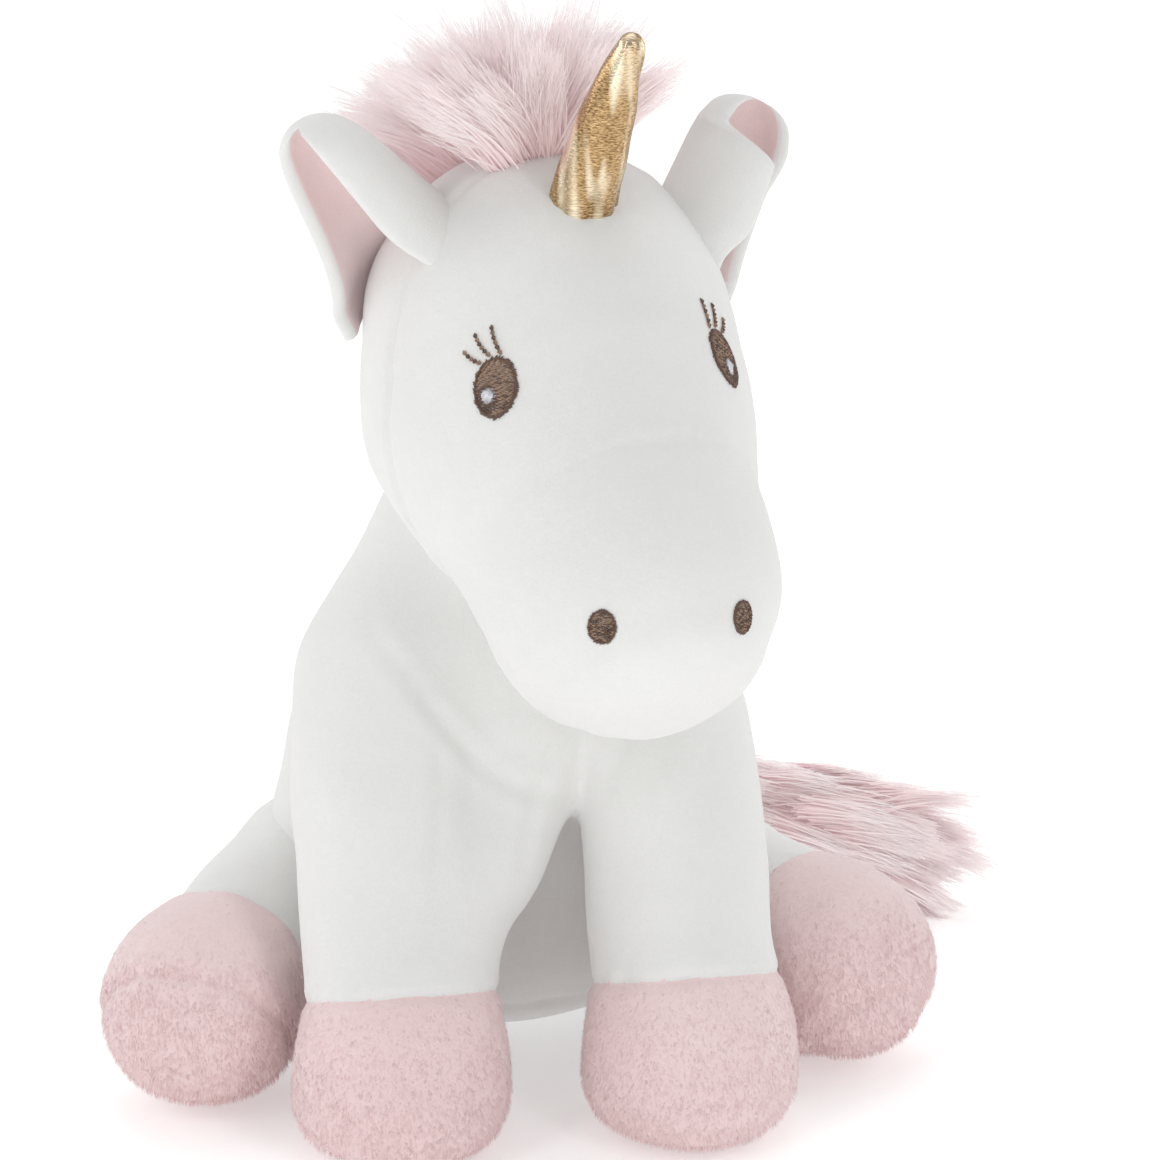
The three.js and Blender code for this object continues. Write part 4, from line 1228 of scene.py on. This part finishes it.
def plain_pile(piece, per_cm2, length, lean, seed, width=0.3):
    """Short pile added to a piece's own mesh, standing on its faces."""
    rng = np.random.default_rng(seed)
    mesh = piece.data
    mesh.calc_loop_triangles()
    corners = np.array([[mesh.vertices[i].co for i in t.vertices] for t in mesh.loop_triangles]) / MM
    cross = np.cross(corners[:, 1] - corners[:, 0], corners[:, 2] - corners[:, 0])
    areas = np.linalg.norm(cross, axis=1) / 2
    count = int(areas.sum() / 100 * per_cm2)  # the areas are in square millimetres
    chosen = rng.choice(len(areas), size=count, p=areas / areas.sum())
    a, b = rng.random((2, count))
    flip = a + b > 1
    a[flip], b[flip] = 1 - a[flip], 1 - b[flip]
    first, second, third = corners[chosen].transpose(1, 0, 2)
    roots = first * (1 - a - b)[:, None] + second * a[:, None] + third * b[:, None]
    normals = cross[chosen] / (2 * areas[chosen])[:, None]
    directions = unit_rows(normals + np.array(lean) + rng.normal(size=(count, 3)) * 0.33)
    lengths = length * rng.uniform(0.65, 1.15, count)
    droop = np.tile(np.array(lean) * 0.6, (count, 1))
    steps = bent(roots - normals * 0.2, directions, lengths, droop, segments=3)
    steps[..., 2] = np.maximum(steps[..., 2], 0.1)
    vertices, faces = ribbons(steps, normals, np.full(count, width), 0.7, rng)
    bm = bmesh.new()
    bm.from_mesh(mesh)
    made = [bm.verts.new(v * MM) for v in vertices]
    for face in faces:
        bm.faces.new([made[i] for i in face]).smooth = True
    bm.to_mesh(mesh)
    bm.free()


body = make_body()
hind = {side: make_hind_leg(side) for side in SIDES}
head_surface = make_head()
for ear in EARS.values():
    make_ear(ear)
make_horn()
make_embroidery(head_surface)
make_mane()
make_tail()
for seed, side in enumerate(SIDES):
    for part in ("hoof", "sole"):
        plain_pile(body[f"foreleg_{side}_{part}"], *HOOF_PILE, (0, 0, -1.1), seed + 40)
        plain_pile(hind[side][part], *HOOF_PILE, (0, -0.4, -1.0), seed + 50)


# ------------------------------------------------------------------ stage, lights, camera
def area_light(name, at, towards, size, power, tall=None):
    """A round lamp, or a rectangular one when tall is given."""
    light = bpy.data.lights.new(name, "AREA")
    light.shape = "RECTANGLE" if tall else "DISK"
    light.size = size
    light.energy = power
    if tall:
        light.size_y = tall
    lamp = bpy.data.objects.new(name, light)
    bpy.context.scene.collection.objects.link(lamp)
    lamp.location = at
    lamp.rotation_euler = (Vector(towards) - Vector(at)).to_track_quat("-Z", "Y").to_euler()


FLOOR_HALF = 20.0
FLOOR_Z = -0.0004  # just under the soles
# The sky's strength over the direction's y: brighter behind the toy than behind the camera.
SKY = {"From Min": -0.9, "From Max": 0.3, "To Min": 0.3, "To Max": 0.7}
LIT = (0.01, -0.04, 0.15)  # the point that most of the lamps face


def make_stage():
    """The lit paper that the toy sits on, the sky and the lamps."""
    mesh = bpy.data.meshes.new("floor")
    bm = bmesh.new()
    bmesh.ops.create_grid(bm, x_segments=1, y_segments=1, size=FLOOR_HALF)
    bm.to_mesh(mesh)
    bm.free()
    floor = bpy.data.objects.new("floor", mesh)
    bpy.context.scene.collection.objects.link(floor)
    floor.location.z = FLOOR_Z
    # The table glows a little, as one lit from below does.
    paper = Look("paper").finish(Base_Color=(0.93, 0.93, 0.93, 1), Roughness=0.9,
                                 Emission_Color=(1, 1, 1, 1), Emission_Strength=0.3)
    floor.data.materials.append(paper)
    world = bpy.data.worlds.new("studio")
    bpy.context.scene.world = world
    world.use_nodes = True
    nodes, links = world.node_tree.nodes, world.node_tree.links
    direction = nodes.new("ShaderNodeTexCoord")
    parts = nodes.new("ShaderNodeSeparateXYZ")
    ramp = nodes.new("ShaderNodeMapRange")
    for name, value in SKY.items():
        ramp.inputs[name].default_value = value
    links.new(direction.outputs["Generated"], parts.inputs["Vector"])
    links.new(parts.outputs["Y"], ramp.inputs["Value"])
    links.new(ramp.outputs["Result"], nodes["Background"].inputs["Strength"])
    nodes["Background"].inputs["Color"].default_value = (1, 1, 1, 1)
    area_light("strip_left", (-1.0, -0.95, 0.75), LIT, 0.25, 3.5, tall=1.4)
    area_light("strip_right", (0.6, -1.25, 0.75), LIT, 0.25, 3.5, tall=1.4)
    area_light("front", (-0.3, -1.4, 0.15), LIT, 0.7, 1.6)
    area_light("left", (-1.4, 0.6, 0.6), LIT, 1.2, 4)
    area_light("right", (1.4, 0.5, 0.6), LIT, 1.2, 4)
    area_light("top", (0.1, 1.2, 2.2), (0, 1.0, 0), 2.5, 12)
    bpy.context.scene.view_settings.view_transform = "Standard"


CAMERA = {
    "azimuth": -10, "elevation": 17, "distance": 1.2, "target": (0.014, -0.084, 0.150), "lens": 137.0,
}


def make_camera():
    """A long lens a little to the animal's right and above it, looking at the middle of its front."""
    azimuth, elevation = math.radians(CAMERA["azimuth"]), math.radians(CAMERA["elevation"])
    back = Vector((math.sin(azimuth) * math.cos(elevation), -math.cos(azimuth) * math.cos(elevation),
                   math.sin(elevation)))
    data = bpy.data.cameras.new("camera")
    data.lens = CAMERA["lens"]
    camera = bpy.data.objects.new("camera", data)
    bpy.context.scene.collection.objects.link(camera)
    camera.location = Vector(CAMERA["target"]) + back * CAMERA["distance"]
    camera.rotation_euler = (-back).to_track_quat("-Z", "Y").to_euler()
    bpy.context.scene.camera = camera


make_stage()
make_camera()
